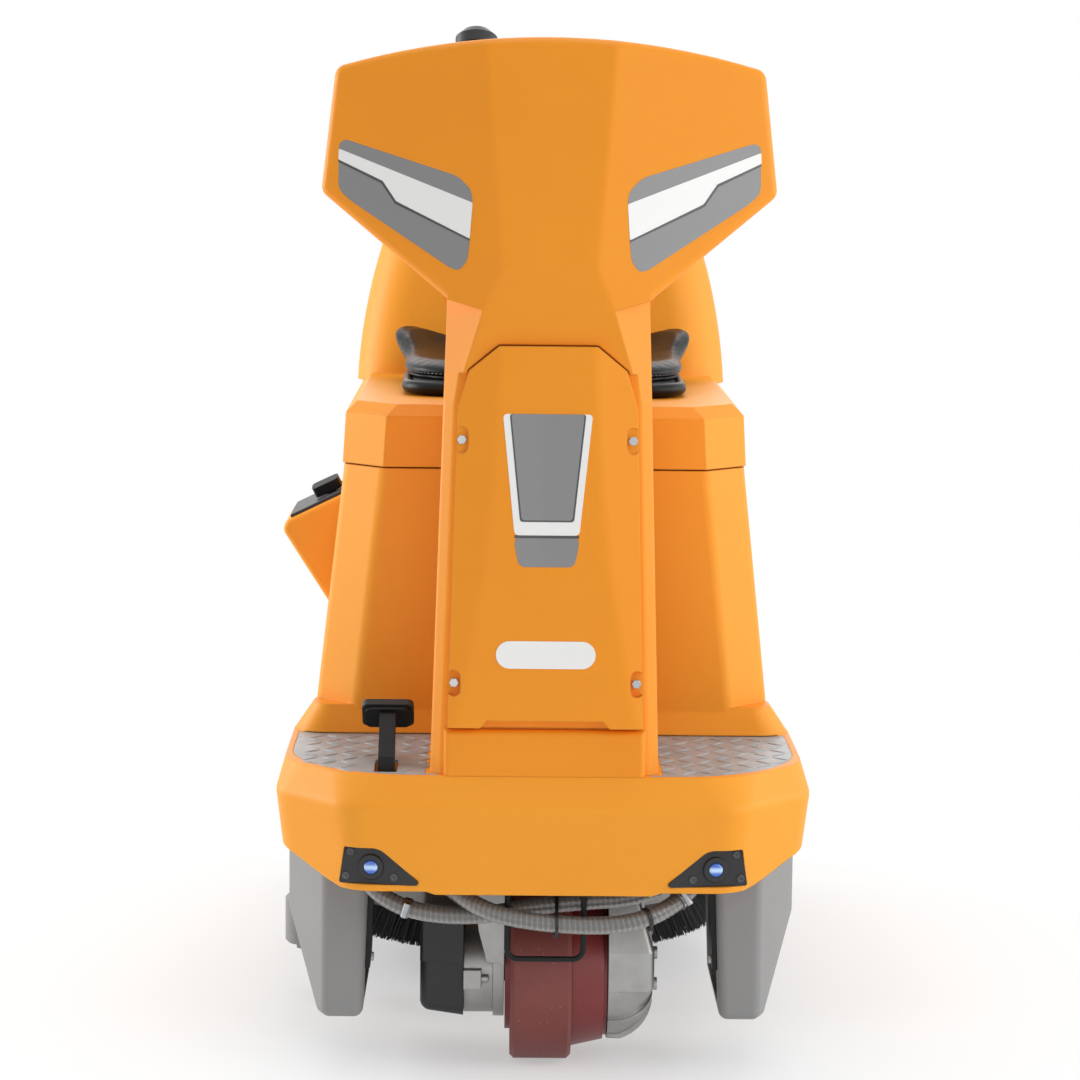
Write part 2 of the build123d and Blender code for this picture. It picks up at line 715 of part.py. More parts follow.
def water_space():
    """Clean-water tank round the battery tub, closed by the seat deck above."""
    low = chamfered_plan(BODY_LOW_HALF - WATER_WALL, BODY_FRONT_Y + WATER_WALL, WATER_REAR_Y, BODY_CHAMFER)
    top = chamfered_plan(BODY_TOP_HALF - WATER_WALL, BODY_TOP_FRONT_Y + WATER_WALL, WATER_REAR_Y, BODY_CHAMFER)
    space = loft([at_height(WATER_FLOOR_Z, low), at_height(BODY_TOP_Z + 1, top)], ruled=True)
    return space - block(-BAY_HALF - TUB_WALL, BAY_HALF + TUB_WALL, BAY_FRONT_Y - TUB_WALL, BAY_REAR_Y + TUB_WALL,
                         0, BODY_TOP_Z + 2)


def lower_edge_cut():
    """The lower edge sweeps up from the front lip along the sides."""
    lip = FRONT_Y + BUMPER_DRAFT
    sweep_up = make_face(Polyline((0, FRONT_Y - 9, 0), (0, FRONT_Y - 9, BUMPER_LOW_Z), (0, lip, BUMPER_LOW_Z))
                         + Spline((0, lip, BUMPER_LOW_Z), (0, lip + 90, SKIRT_Z - 8), (0, lip + 200, SKIRT_Z),
                                  tangents=[(0, 1, 0.1), (0, 1, 0)])
                         + Polyline((0, lip + 200, SKIRT_Z), (0, BODY_REAR_Y + 9, SKIRT_Z),
                                    (0, BODY_REAR_Y + 9, 0), (0, FRONT_Y - 9, 0)))
    cut = extrude(sweep_up, amount=BUMPER_HALF + 9, both=True, dir=(1, 0, 0))
    slope = LAMP_ZONE_Z - BUMPER_LOW_Z + 10
    lamp_zone = prism_y([(LIP_HALF, BUMPER_LOW_Z - 1), (LIP_HALF + slope, LAMP_ZONE_Z),
                         (BUMPER_HALF, LAMP_ZONE_Z), (BUMPER_HALF, BUMPER_LOW_Z - 1)], FRONT_Y - 9, SHOULDER_Z)
    return cut + lamp_zone + mirrored(lamp_zone)


def main_body():
    shell = body_shell()
    body = shell + lever_pod()
    body -= under_body()
    for side in (-1, 1):
        body += lamp_cup(side) & shell
    body -= lower_edge_cut()
    body -= block(-BAY_HALF, BAY_HALF, BAY_FRONT_Y, BAY_REAR_Y, BAY_FLOOR_Z, BODY_TOP_Z + 1)
    body -= water_space()
    for side in (-1, 1):
        body -= extrude(at_height(PLATE_FLOOR_Z, offset(plate_outline(side), amount=FIT)), amount=PLATE_THICK + 1)
        body -= lamp_pocket(side)
    body -= pedal_slot()
    body -= rod((0, PINION_Y, 0), (0, PINION_Y, FOOT_Z + 1), LOWER_SHAFT_R + RUNNING)
    body -= lever_space()
    lug_x = (TANK_LUG_X, TANK_LUG_X + TANK_LUG_THICK)
    for side in (-1, 1):
        x0, x1 = sorted(side * x for x in lug_x)
        lug = block(x0, x1, TANK_PIVOT_Y - LUG_R, TANK_PIVOT_Y + LUG_R, BODY_TOP_Z - 5, TANK_PIVOT_Z)
        body += lug + rod((x0, TANK_PIVOT_Y, TANK_PIVOT_Z), (x1, TANK_PIVOT_Y, TANK_PIVOT_Z), LUG_R)
        body -= rod((x0 - 1, TANK_PIVOT_Y, TANK_PIVOT_Z), (x1 + 1, TANK_PIVOT_Y, TANK_PIVOT_Z), PIN_R + RUNNING)
    return body


def plate_outline(side):
    """Footplate: follows the bumper's rim outside and the column inside."""
    whole = rounded_plan(PLATE_HALF, PLATE_FRONT_Y, PLATE_REAR_Y + 60, PLATE_CORNER_R, 1)
    toe_y = COLUMN_FRONT_Y
    far = BUMPER_HALF
    points = [(PLATE_INNER, PLATE_REAR_Y), (PLATE_INNER, toe_y), (PLATE_TOE, toe_y), (PLATE_TOE, FRONT_Y),
              (far, FRONT_Y), (far, PLATE_REAR_Y)]
    window = make_face(Polyline(*[(side * x, y) for x, y in points], close=True))
    return whole & window


def pedal_slot():
    return block(PEDAL_X - SLOT_WIDE / 2, PEDAL_X + SLOT_WIDE / 2, SLOT_FRONT_Y, SLOT_REAR_Y,
                 FOOT_Z - FOOT_THICK - 1, FOOT_Z + 1)


def footplate(side):
    plate = extrude(at_height(PLATE_FLOOR_Z, plate_outline(side)), amount=PLATE_THICK)
    if side < 0:
        plate -= pedal_slot()
    return plate


# Console
def console_head():
    """Swept-back head: a front outline trimmed by the ridge, wing and chin planes."""
    arch = ThreePointArc((-HEAD_TOP_HALF, HEAD_CORNER_Z), (0, HEAD_APEX_Z), (HEAD_TOP_HALF, HEAD_CORNER_Z))
    sides = Polyline((HEAD_TOP_HALF, HEAD_CORNER_Z), (HEAD_TIP_HALF, HEAD_TIP_Z), (HEAD_NECK_HALF, HEAD_NECK_Z),
                     (HEAD_NECK_HALF, HEAD_LOW_Z), (-HEAD_NECK_HALF, HEAD_LOW_Z), (-HEAD_NECK_HALF, HEAD_NECK_Z),
                     (-HEAD_TIP_HALF, HEAD_TIP_Z), (-HEAD_TOP_HALF, HEAD_CORNER_Z))
    outline = make_face(Curve() + [arch, sides])
    outline = fillet([v for v in outline.vertices() if abs(v.X) > HEAD_NECK_HALF + 1], HEAD_TIP_ROUND)
    front = Plane(origin=(0, FRONT_Y, 0), x_dir=(1, 0, 0), z_dir=(0, -1, 0))
    head = extrude(front * outline, amount=COLUMN_LOW_BACK_Y + 60 - FRONT_Y, dir=(0, 1, 0))
    inside = (0, HEAD_BACK_Y, HEAD_TIP_Z)
    top_x, top_y, top_z = RIDGE_TOP
    waist_x, waist_y, waist_z = RIDGE_WAIST
    head = trimmed(head, (0, waist_y, waist_z), (9, waist_y, waist_z), (0, top_y, top_z), inside)
    head = trimmed(head, (0, waist_y, waist_z), (9, waist_y, waist_z), (0, chin_front_at(HEAD_LOW_Z), HEAD_LOW_Z),
                   inside)
    for side in (-1, 1):
        head = trimmed(head, (side * top_x, top_y, top_z), (side * waist_x, waist_y, waist_z),
                       (side * HEAD_TIP_HALF, WING_TIP_Y, HEAD_TIP_Z), inside)
        far_x = side * 2 * HEAD_TIP_HALF
        far_y = 2 * WING_BACK_Y - HEAD_BACK_Y
        head -= prism_z([(0, HEAD_BACK_Y), (far_x, far_y), (far_x, 0), (0, 0)], HEAD_LOW_Z - 1, HEAD_APEX_Z + 1)
    ridges = [e for e in head.edges() if abs(e.center().X) < top_x + 9 and e.center().Y < WING_TIP_Y
              and HEAD_LOW_Z + 5 < e.center().Z < HEAD_CORNER_Z - 9]
    head = fillet(ridges, RIDGE_ROUND)
    rim = [e for e in head.edges() if e.center().Z > HEAD_NECK_Z + 5 and e.center().Y < WING_TIP_Y + 30
           and not (abs(e.center().X) < top_x + 30 and e.center().Z < HEAD_CORNER_Z - 9)]
    cut = chin_side_cut()
    return fillet(rim, HEAD_ROUND) - cut - mirrored(cut)


def chin_front_at(z):
    """The chin's front plane, from the waist down to the top edge of the service cover."""
    _, waist_y, waist_z = RIDGE_WAIST
    cover_top_z = COVER_LOW_Z + COVER_HIGH * cos(radians(COLUMN_LEAN))
    return waist_y + (CHIN_Y - waist_y) * (waist_z - z) / (waist_z - cover_top_z)


def facet_points(side):
    """Three points of the plane that cuts a front corner of the column and a side of the chin."""
    return ((side * FACET_TOP_X, chin_front_at(FACET_TOP_Z), FACET_TOP_Z),
            (side * (FACET_TOP_X + FACET_WIDE), column_front_at(FACET_TOP_Z), FACET_TOP_Z),
            (side * FACET_LOW_X, column_front_at(FACET_LOW_Z), FACET_LOW_Z))


def chin_side_cut():
    """What is cut from beside the chin, under the line from the neck to the chin's corner (right-hand side)."""
    rise = (HEAD_NECK_Z - FACET_TOP_Z) / (HEAD_NECK_HALF - FACET_TOP_X)
    near, far = FACET_TOP_X - 2 * FACET_WIDE, HEAD_NECK_HALF + FACET_WIDE
    cut = prism_y([(near, HEAD_LOW_Z - 1), (far, HEAD_LOW_Z - 1), (far, FACET_TOP_Z + rise * (far - FACET_TOP_X)),
                   (near, FACET_TOP_Z + rise * (near - FACET_TOP_X))], FRONT_Y, 0)
    return trimmed(cut, *facet_points(1), (far, FRONT_Y, HEAD_LOW_Z))


def console_column(inset):
    """The column under the head, or its hollow when inset by the wall."""
    def plan(z, half, back):
        return at_height(z, chamfered_plan(half - inset, column_front_at(z) + inset, back - inset, COLUMN_CHAMFER))
    top_z = COLUMN_TOP_Z - 5 * inset
    share = (top_z - FOOT_Z) / (COLUMN_TOP_Z - FOOT_Z)
    top_half = COLUMN_LOW_HALF + (COLUMN_TOP_HALF - COLUMN_LOW_HALF) * share
    top_back = COLUMN_LOW_BACK_Y + (COLUMN_TOP_BACK_Y - COLUMN_LOW_BACK_Y) * share
    return loft([plan(FOOT_Z, COLUMN_LOW_HALF, COLUMN_LOW_BACK_Y), plan(top_z, top_half, top_back)], ruled=True)


def dash_block():
    low_z = COLUMN_TOP_Z - 60
    low_back = COLUMN_LOW_BACK_Y + (COLUMN_TOP_BACK_Y - COLUMN_LOW_BACK_Y) * (low_z - FOOT_Z) / (COLUMN_TOP_Z
                                                                                                  - FOOT_Z)
    dash = prism_x([(HEAD_BACK_Y - 40, HEAD_NECK_Z), (HEAD_BACK_Y - 40, DASH_TOP_Z - 5), (HEAD_BACK_Y, DASH_TOP_Z),
                    (DASH_LOW_Y, DASH_LOW_Z), (low_back, low_z), (HEAD_BACK_Y, low_z)], -DASH_HALF, DASH_HALF)
    dash = trimmed(dash, (DASH_HALF, 0, DASH_LOW_Z), (DASH_HALF, 9, DASH_LOW_Z), (COLUMN_TOP_HALF - 2, 0, low_z),
                   (0, HEAD_BACK_Y, DASH_LOW_Z))
    dash = trimmed(dash, (-DASH_HALF, 0, DASH_LOW_Z), (-DASH_HALF, 9, DASH_LOW_Z), (-COLUMN_TOP_HALF + 2, 0, low_z),
                   (0, HEAD_BACK_Y, DASH_LOW_Z))
    edges = [e for e in dash.edges() if e.center().Y > HEAD_BACK_Y + 5 and abs(e.center().X) > COLUMN_TOP_HALF - 3]
    return fillet(edges, DASH_ROUND)


def console():
    column = fillet(upright_edges(console_column(0)), COLUMN_ROUND)
    for side in (-1, 1):
        column = trimmed(column, *facet_points(side), (0, COLUMN_LOW_BACK_Y, FACET_LOW_Z))
    shell = console_head() + column + dash_block()
    shell -= console_column(COLUMN_WALL) & block(-BUMPER_HALF, BUMPER_HALF, FRONT_Y, 0, FOOT_Z - 1, COLUMN_TOP_Z)
    tunnel_top = WHEEL_MIDDLE - STEER_AXIS * SHAFT_BUSH_DROP
    shell -= rod(JOINT_MIDDLE, tunnel_top, SHAFT_TUNNEL_R)
    shell -= rod(JOINT_MIDDLE, WHEEL_MIDDLE, SHAFT_R + RUNNING)
    pocket = extrude(COVER_PLANE * cover_outline(COVER_GAP), amount=3 * COVER_DEPTH)
    shell -= pocket
    for place in cover_screw_planes():
        shell -= bolt_hole(place)
    shell -= extrude(dash_plane(STOP_X, STOP_S) * Circle(STOP_STEM_R + FIT), amount=-CONTROL_WELL)
    shell -= extrude(dash_plane(KEY_X, STOP_S) * Circle(KEY_STEM_R + FIT), amount=-CONTROL_WELL)
    return shell


def service_cover():
    """Front cover of the column: a flat face between two side facets, with a notch at its lower edge."""
    sections = []
    for v, face_half in ((-1, FACE_LOW_HALF), (FACE_WAIST, FACE_WAIST_HALF), (COVER_HIGH + 1, FACE_TOP_HALF)):
        rim = COVER_DEPTH - FACET_SLOPE * (FACET_REACH - face_half)
        points = [(-FACET_REACH, 0), (-FACET_REACH, rim), (-face_half, COVER_DEPTH), (face_half, COVER_DEPTH),
                  (FACET_REACH, rim), (FACET_REACH, 0)]
        sections.append(make_face(Polyline(*[(u, v, w) for u, w in points], close=True)))
    form = loft(sections)
    creases = [e for e in form.edges() if e.center().Z > COVER_DEPTH - 0.1 and abs(e.tangent_at(0.5).Y) > 0.7]
    cover = fillet(creases, COVER_ROUND) & extrude(cover_outline(0), amount=COVER_DEPTH)
    wide = COVER_NOTCH_HALF + COVER_NOTCH_HIGH
    notch = make_face(Polyline((-wide, -1), (-COVER_NOTCH_HALF, COVER_NOTCH_HIGH),
                               (COVER_NOTCH_HALF, COVER_NOTCH_HIGH), (wide, -1), close=True))
    cover -= Pos(0, 0, SCREW_SEAT) * extrude(notch, amount=COVER_DEPTH)
    cover = COVER_PLANE * cover
    for place in cover_screw_planes():
        seat = place.offset(SCREW_SEAT)
        cover -= extrude(seat * SlotOverall(SCREW_POCKET, 2 * BOLT_HEAD_R + 4, rotation=90), amount=COVER_DEPTH)
        cover -= extrude(seat * Circle(BOLT_R + FIT), amount=-SCREW_SEAT - 1)
    return cover


def column_foot():
    """The block under the service cover, in front of the column."""
    top_z = COVER_LOW_Z - COVER_GAP
    foot = prism_x([(column_front_at(FOOT_Z), FOOT_Z), (column_front_at(FOOT_Z) - TOE_DEPTH, FOOT_Z),
                    (column_front_at(top_z) - TOE_DEPTH, top_z), (column_front_at(top_z), top_z)],
                   -TOE_HALF, TOE_HALF)
    return fillet(foot.edges().filter_by(lambda e: e.center().Y < column_front_at(e.center().Z) - TOE_DEPTH + 1
                                         and e.center().Z > FOOT_Z + 1), TOE_ROUND)


def body_bolts():
    """Hex bolts of the service cover and of the two guards."""
    bolts = [hex_bolt(place.offset(SCREW_SEAT)) for place in cover_screw_planes()]
    bolts += [hex_bolt(guard_bolt_plane(side)) for side in (-1, 1)]
    return Compound(children=bolts)


# Corner lamps
def lamp_plane(side):
    turn = radians(LAMP_TURN)
    return Plane(origin=(side * LAMP_X, LAMP_FLOOR_Y, LAMP_Z), x_dir=(cos(turn), side * sin(turn), 0),
                 z_dir=(side * sin(turn), -cos(turn), 0))


def lamp_outline(side):
    """Black plate at the bumper's corner: straight below, sloping towards the middle."""
    points = [(-side * u, v) for u, v in ((-40, -21), (-32, 25), (11, 25), (62, -21))]
    outline = make_face(Polyline(*points, close=True))
    bend = [v for v in outline.vertices() if v.Y > 0 and -side * v.X > 0]
    outline = fillet(bend, 24)
    return fillet([v for v in outline.vertices() if -side * v.X < -30 or v.Y < -20], 3)


def lamp_pocket(side):
    return extrude(lamp_plane(side) * offset(lamp_outline(side), amount=FIT), amount=60)


def lamp_cup(side):
    """Moulded cup that closes the bumper behind a lamp plate."""
    outline = offset(lamp_outline(side), amount=LAMP_CUP_WALL)
    return extrude(lamp_plane(side).offset(-LAMP_CUP_WALL) * outline, amount=4 * LAMP_CUP_WALL)


def lamp_screw_places(side):
    front = lamp_plane(side).offset(LAMP_PLATE_THICK)
    return [Plane(front.location * Pos(-side * u, v, 0)) for u, v in LAMP_SCREW_SPOTS]


def lamp_plate(side):
    plane = lamp_plane(side)
    plate = extrude(plane * lamp_outline(side), amount=LAMP_PLATE_THICK)
    front = plane.offset(LAMP_PLATE_THICK)
    plate += extrude(front * Circle(LAMP_BEZEL_R), amount=LAMP_BEZEL_HIGH, taper=20)
    plate -= extrude(front.offset(LAMP_BEZEL_HIGH) * Circle(LENS_R + FIT), amount=-LENS_DEEP)
    for place in lamp_screw_places(side):
        plate -= extrude(place * Circle(LAMP_SCREW_SHANK_R + FIT), amount=-LAMP_SCREW_LONG - 1)
    return plate


def lamp_lenses():
    lenses = []
    for side in (-1, 1):
        seat = lamp_plane(side).offset(LAMP_PLATE_THICK + LAMP_BEZEL_HIGH - LENS_DEEP)
        lens = extrude(seat * Circle(LENS_R), amount=LENS_DEEP + 2)
        lenses.append(fillet(lens.faces().sort_by(Axis.Y)[0].edges(), LENS_ROUND))
    return Compound(children=lenses)


def lamp_screws():
    screws = []
    for side in (-1, 1):
        for place in lamp_screw_places(side):
            head = extrude(place * Circle(LAMP_SCREW_R), amount=LAMP_SCREW_HIGH)
            head -= extrude(place.offset(LAMP_SCREW_HIGH) * RegularPolygon(LAMP_SCREW_R / 2, 6), amount=-1)
            screws.append(head + extrude(place * Circle(LAMP_SCREW_SHANK_R), amount=-LAMP_SCREW_LONG))
    return Compound(children=screws)


# Frame and guards
def guard_inner_at(z):
    share = (GUARD_TOP_Z - z) / (GUARD_TOP_Z - GUARD_LOW_Z)
    return GUARD_INNER_X + (GUARD_LOW_INNER_X - GUARD_INNER_X) * share


def guard_bolt_plane(side):
    """Where a guard bolt's head sits, on the inner face of its bracket."""
    lean = (GUARD_LOW_INNER_X - GUARD_INNER_X) / (GUARD_TOP_Z - GUARD_LOW_Z)
    x = guard_inner_at(GUARD_BOLT_Z) - FIT - GUARD_BRACKET_THICK
    return Plane(origin=(side * x, GUARD_BOLT_Y, GUARD_BOLT_Z), x_dir=(0, 1, 0), z_dir=(-side, 0, -lean))


def guard_bracket():
    """Strip that hangs from an outrigger along the guard's inner edge (right-hand side)."""
    low_z = GUARD_BOLT_Z - 2 * BOLT_HEAD_R
    low_x = guard_inner_at(low_z) - FIT
    top_x = guard_inner_at(GUARD_TOP_Z) - FIT
    strip = prism_y([(low_x, low_z), (top_x, GUARD_TOP_Z), (top_x - GUARD_BRACKET_THICK, GUARD_TOP_Z),
                     (low_x - GUARD_BRACKET_THICK, low_z)],
                    GUARD_BOLT_Y - 2 * BOLT_HEAD_R, OUTRIGGER_FRONT_Y + CROSS_WIDE)
    return strip


def guard(side):
    """Moulded guard in front of the brush: a block trimmed by its tapering faces, open towards the wheel."""
    shape = block(GUARD_INNER_X, GUARD_OUTER_X, GUARD_FRONT_Y, GUARD_REAR_Y, GUARD_LOW_Z, GUARD_TOP_Z)
    keep = (GUARD_EDGE_X - 9, GUARD_SIDE_Y, GUARD_WAIST_Z)
    shape = trimmed(shape, (GUARD_EDGE_X, GUARD_FRONT_Y, GUARD_TOP_Z), (GUARD_EDGE_X, GUARD_FRONT_Y, GUARD_LOW_Z),
                    (GUARD_OUTER_X, GUARD_SIDE_Y, GUARD_WAIST_Z), keep)
    shape = trimmed(shape, (GUARD_OUTER_X, 0, GUARD_WAIST_Z), (GUARD_OUTER_X, 9, GUARD_WAIST_Z),
                    (GUARD_LOW_OUTER_X, 0, GUARD_LOW_Z), keep)
    shape = trimmed(shape, (GUARD_INNER_X, 0, GUARD_TOP_Z), (GUARD_INNER_X, 9, GUARD_TOP_Z),
                    (GUARD_LOW_INNER_X, 0, GUARD_LOW_Z), keep)
    soft = [e for e in shape.edges() if e.center().Z < GUARD_TOP_Z - 1 and e.center().Y < GUARD_REAR_Y - 1]
    shape = fillet(soft, GUARD_ROUND)
    shape -= block(GUARD_INNER_X - 9, GUARD_EDGE_X - GUARD_WALL, GUARD_FRONT_Y + 4 * GUARD_WALL,
                   GUARD_REAR_Y - GUARD_WALL, GUARD_LOW_Z + 2 * GUARD_WALL, GUARD_TOP_Z - 2 * GUARD_WALL)
    shape -= bolt_hole(guard_bolt_plane(1))
    return shape if side > 0 else mirrored(shape)


def frame_ears(x0, thick, y0, y1, z0, z1, pin_y, pin_z, play):
    """A pair of lugs with a pin hole, one on each side of the middle."""
    lug = block(x0, x0 + thick, y0, y1, z0, z1)
    lug -= rod((x0 - 1, pin_y, pin_z), (x0 + thick + 1, pin_y, pin_z), PIN_R + play)
    return lug + mirrored(lug)


def chassis_frame():
    """Welded frame: rails, cross members, steering plate, nose, outriggers and all the pivot lugs."""
    rail = block(RAIL_X - RAIL_WIDE / 2, RAIL_X + RAIL_WIDE / 2, RAIL_FRONT_Y, RAIL_REAR_Y, RAIL_LOW_Z, TUNNEL_Z)
    outrigger = block(RAIL_X, OUTRIGGER_X, OUTRIGGER_FRONT_Y, OUTRIGGER_REAR_Y, GUARD_TOP_Z, GUARD_TOP_Z + NOSE_THICK)
    axle_plate = block(RAIL_X - AXLE_PLATE_THICK, RAIL_X, REAR_AXLE_Y - CROSS_WIDE, REAR_AXLE_Y + CROSS_WIDE,
                       REAR_R - 2 * AXLE_R, RAIL_LOW_Z + 1)
    half = rail + outrigger + guard_bracket() + axle_plate
    half -= bolt_hole(guard_bolt_plane(1))
    frame = half + mirrored(half)
    frame -= rod((-RAIL_X, REAR_AXLE_Y, REAR_R), (RAIL_X, REAR_AXLE_Y, REAR_R), AXLE_R + RUNNING)
    for middle_y in (PIVOT_Y - CROSS_WIDE, LIFT_Y, RAIL_REAR_Y - CROSS_WIDE / 2):
        frame += block(-RAIL_X, RAIL_X, middle_y - CROSS_WIDE / 2, middle_y + CROSS_WIDE / 2, RAIL_LOW_Z, TUNNEL_Z)
    plate = block(-RAIL_X, RAIL_X, PIVOT_PLATE_FRONT_Y, PIVOT_PLATE_REAR_Y, RAIL_LOW_Z,
                  RAIL_LOW_Z + PIVOT_PLATE_THICK)
    plate += block(TOW_LEFT_X - 3 * TOW_ROD_R, TOW_RIGHT_X + 3 * TOW_ROD_R, NOSE_FRONT_Y, PIVOT_PLATE_FRONT_Y,
                   RAIL_LOW_Z, RAIL_LOW_Z + NOSE_THICK)
    plate -= rod((0, DRIVE_Y, 0), (0, DRIVE_Y, FOOT_Z), BEARING_BORE_R + 2)
    frame += plate
    ear_front = PIVOT_Y - CROSS_WIDE / 2 - 1
    frame += frame_ears(ARM_X + ARM_THICK + FIT, EAR_THICK, ear_front, PIVOT_Y + ARM_EYE_R, PIVOT_Z - ARM_EYE_R,
                        RAIL_LOW_Z + CROSS_WIDE, PIVOT_Y, PIVOT_Z, RUNNING)
    frame += frame_ears(LINK_THICK / 2 + FIT, EAR_THICK, ear_front, PIVOT_Y + ARM_EYE_R, LINK_PIVOT_Z - ARM_EYE_R,
                        RAIL_LOW_Z + CROSS_WIDE, PIVOT_Y, LINK_PIVOT_Z, RUNNING)
    frame += frame_ears(LIFT_EAR_X, EAR_THICK, LIFT_Y - ARM_EYE_R, LIFT_Y + ARM_EYE_R, LIFT_Z - ARM_EYE_R,
                        RAIL_LOW_Z + 1, LIFT_Y, LIFT_Z, RUNNING)
    return frame


def tow_loop():
    path = FilletPolyline((TOW_LEFT_X, TOW_Y, RAIL_LOW_Z), (TOW_LEFT_X, TOW_Y, TOW_Z), (TOW_RIGHT_X, TOW_Y, TOW_Z),
                          (TOW_RIGHT_X, TOW_Y, RAIL_LOW_Z), radius=TOW_BEND_R)
    return sweep(Plane(origin=path @ 0, z_dir=path % 0) * Circle(TOW_ROD_R), path)


def rear_axle():
    reach = REAR_INNER_X + REAR_WIDE + 5
    return rod((-reach, REAR_AXLE_Y, REAR_R), (reach, REAR_AXLE_Y, REAR_R), AXLE_R)


def rear_wheel(side):
    """Solid tyre with a dished disc and a hub boss."""
    x0 = REAR_INNER_X
    x1 = REAR_INNER_X + REAR_WIDE
    bore = AXLE_R + RUNNING
    profile = [(x0, bore), (x0, 3 * AXLE_R), (x0 + 12, 3 * AXLE_R), (x0 + 12, REAR_R - 30), (x0, REAR_R - 24),
               (x0, REAR_R - 6), (x0 + 6, REAR_R), (x1 - 6, REAR_R), (x1, REAR_R - 6), (x1, REAR_R - 24),
               (x1 - 12, REAR_R - 30), (x1 - 12, 3 * AXLE_R), (x1, 3 * AXLE_R), (x1, bore)]
    wheel = turned_x(profile, REAR_AXLE_Y, REAR_R)
    return wheel if side > 0 else mirrored(wheel)


# Steering
def gear_outline(teeth, inward):
    """Straight-flanked teeth on the pitch circle. Inward teeth sit half a pitch round from outward ones."""
    pitch_r = GEAR_MODULE * teeth / 2
    flank = tan(radians(20))
    tip = GEAR_MODULE * 0.9
    root = GEAR_MODULE * 1.25
    thick = radians(180) / teeth * pitch_r - GEAR_BACKLASH / 2
    points = []
    for k in range(teeth):
        middle = radians(-90) + radians(360) / teeth * (k + (0.5 if inward else 0))
        for depth, sign in ((-root, -1), (tip, -1), (tip, 1), (-root, 1)):
            r = pitch_r - depth if inward else pitch_r + depth
            half = (thick / 2 - depth * flank) / r
            points.append((r * cos(middle + sign * half), r * sin(middle + sign * half)))
    return make_face(Polyline(*points, close=True))


def steering_gear():
    """Toothed ring on a flat web, fixed to the top of the fork."""
    outer_r = GEAR_MODULE * (RING_TEETH / 2 + 1.25) + RING_RIM
    ring = Circle(outer_r) - gear_outline(RING_TEETH, True)
    gear = extrude(ring, amount=GEAR_HIGH) + Pos(0, 0, -GEAR_WEB) * extrude(Circle(outer_r), amount=GEAR_WEB)
    return Pos(0, DRIVE_Y, GEAR_LOW_Z) * gear


def steering_pinion():
    """Lower steering shaft: pinion below, ball cup above."""
    pinion = extrude(gear_outline(PINION_TEETH, False), amount=GEAR_HIGH - 1)
    shaft = Pos(0, PINION_Y, GEAR_LOW_Z + 1) * pinion
    cup_low = JOINT_MIDDLE.Z - JOINT_BALL_R - 12
    shaft += rod((0, PINION_Y, GEAR_LOW_Z + 1), (0, PINION_Y, cup_low + 1), LOWER_SHAFT_R)
    shaft += rod((0, PINION_Y, cup_low), JOINT_MIDDLE, JOINT_CUP_R)
    return shaft - Pos(*JOINT_MIDDLE) * Sphere(JOINT_BALL_R + FIT)


def steering_shaft():
    low = JOINT_MIDDLE
    top = WHEEL_MIDDLE - STEER_AXIS * (WHEEL_HUB_HIGH / 2)
    return rod(low, top, SHAFT_R) + Pos(*low) * Sphere(JOINT_BALL_R)


def knob_place():
    """Plane of the steering wheel at the spinner knob."""
    angle = radians(KNOB_ANGLE)
    return Plane(WHEEL_PLANE.location * Pos(WHEEL_R * cos(angle), -WHEEL_R * sin(angle), 0))


def steering_wheel():
    """Padded rim on three spokes, with a boss for the spinner knob."""
    wheel = WHEEL_PLANE * Torus(WHEEL_R, WHEEL_RIM_R)
    hub = turned_z([(0, -WHEEL_HUB_HIGH / 2), (WHEEL_HUB_R, -WHEEL_HUB_HIGH / 2), (WHEEL_HUB_R, 4), (WHEEL_HUB_R - 10, 12),
                    (0, 12)], 0, 0)
    for k in range(3):
        spoke = Rot(0, 0, -90 + 120 * k) * Pos(WHEEL_R / 2, 0, 0) * Box(WHEEL_R, SPOKE_WIDE, SPOKE_THICK)
        hub += spoke
    wheel += WHEEL_PLANE * hub
    place = knob_place()
    wheel += extrude(place * Circle(KNOB_PIN_R + 5), amount=WHEEL_RIM_R + 3)
    wheel += extrude(place * Circle(KNOB_PIN_R), amount=KNOB_HIGH - 10)
    return wheel


def spinner_knob():
    place = knob_place()
    low = KNOB_HIGH - KNOB_BODY
    profile = [(KNOB_PIN_R + RUNNING, low), (KNOB_R - 8, low), (KNOB_R, low + 12), (KNOB_R, KNOB_HIGH - 9),
               (KNOB_R - 9, KNOB_HIGH), (0, KNOB_HIGH), (0, KNOB_HIGH - 9.5), (KNOB_PIN_R + RUNNING, KNOB_HIGH - 9.5)]
    return place * turned_z(profile, 0, 0)


def steering_bearing():
    ring = turned_z([(BEARING_BORE_R, RAIL_LOW_Z - BEARING_HIGH), (BEARING_R, RAIL_LOW_Z - BEARING_HIGH),
                     (BEARING_R, RAIL_LOW_Z), (BEARING_BORE_R, RAIL_LOW_Z)], 0, DRIVE_Y)
    return ring


# Drive unit
TYRE_HALF = TYRE_WIDE / 2
HUB_DISC_X = -TYRE_HALF - HUB_DISC_THICK
FORK_ARM_X = HUB_DISC_X - GEAR_CASE_GAP         # inner face of the fork's arm
MOTOR_X = FORK_ARM_X - FORK_ARM_THICK           # where the motor sits on the arm
GEAR_CASE_IN_X = HUB_FACE_X + GEAR_CASE_GAP


def drive_tyre():
    bore = TYRE_BORE_R + RUNNING
    profile = [(-TYRE_HALF, bore), (-TYRE_HALF, DRIVE_R - TYRE_BEVEL), (-TYRE_HALF + TYRE_BEVEL, DRIVE_R),
               (TYRE_HALF - TYRE_BEVEL, DRIVE_R), (TYRE_HALF, DRIVE_R - TYRE_BEVEL), (TYRE_HALF, bore)]
    return turned_x(profile, DRIVE_Y, DRIVE_Z)


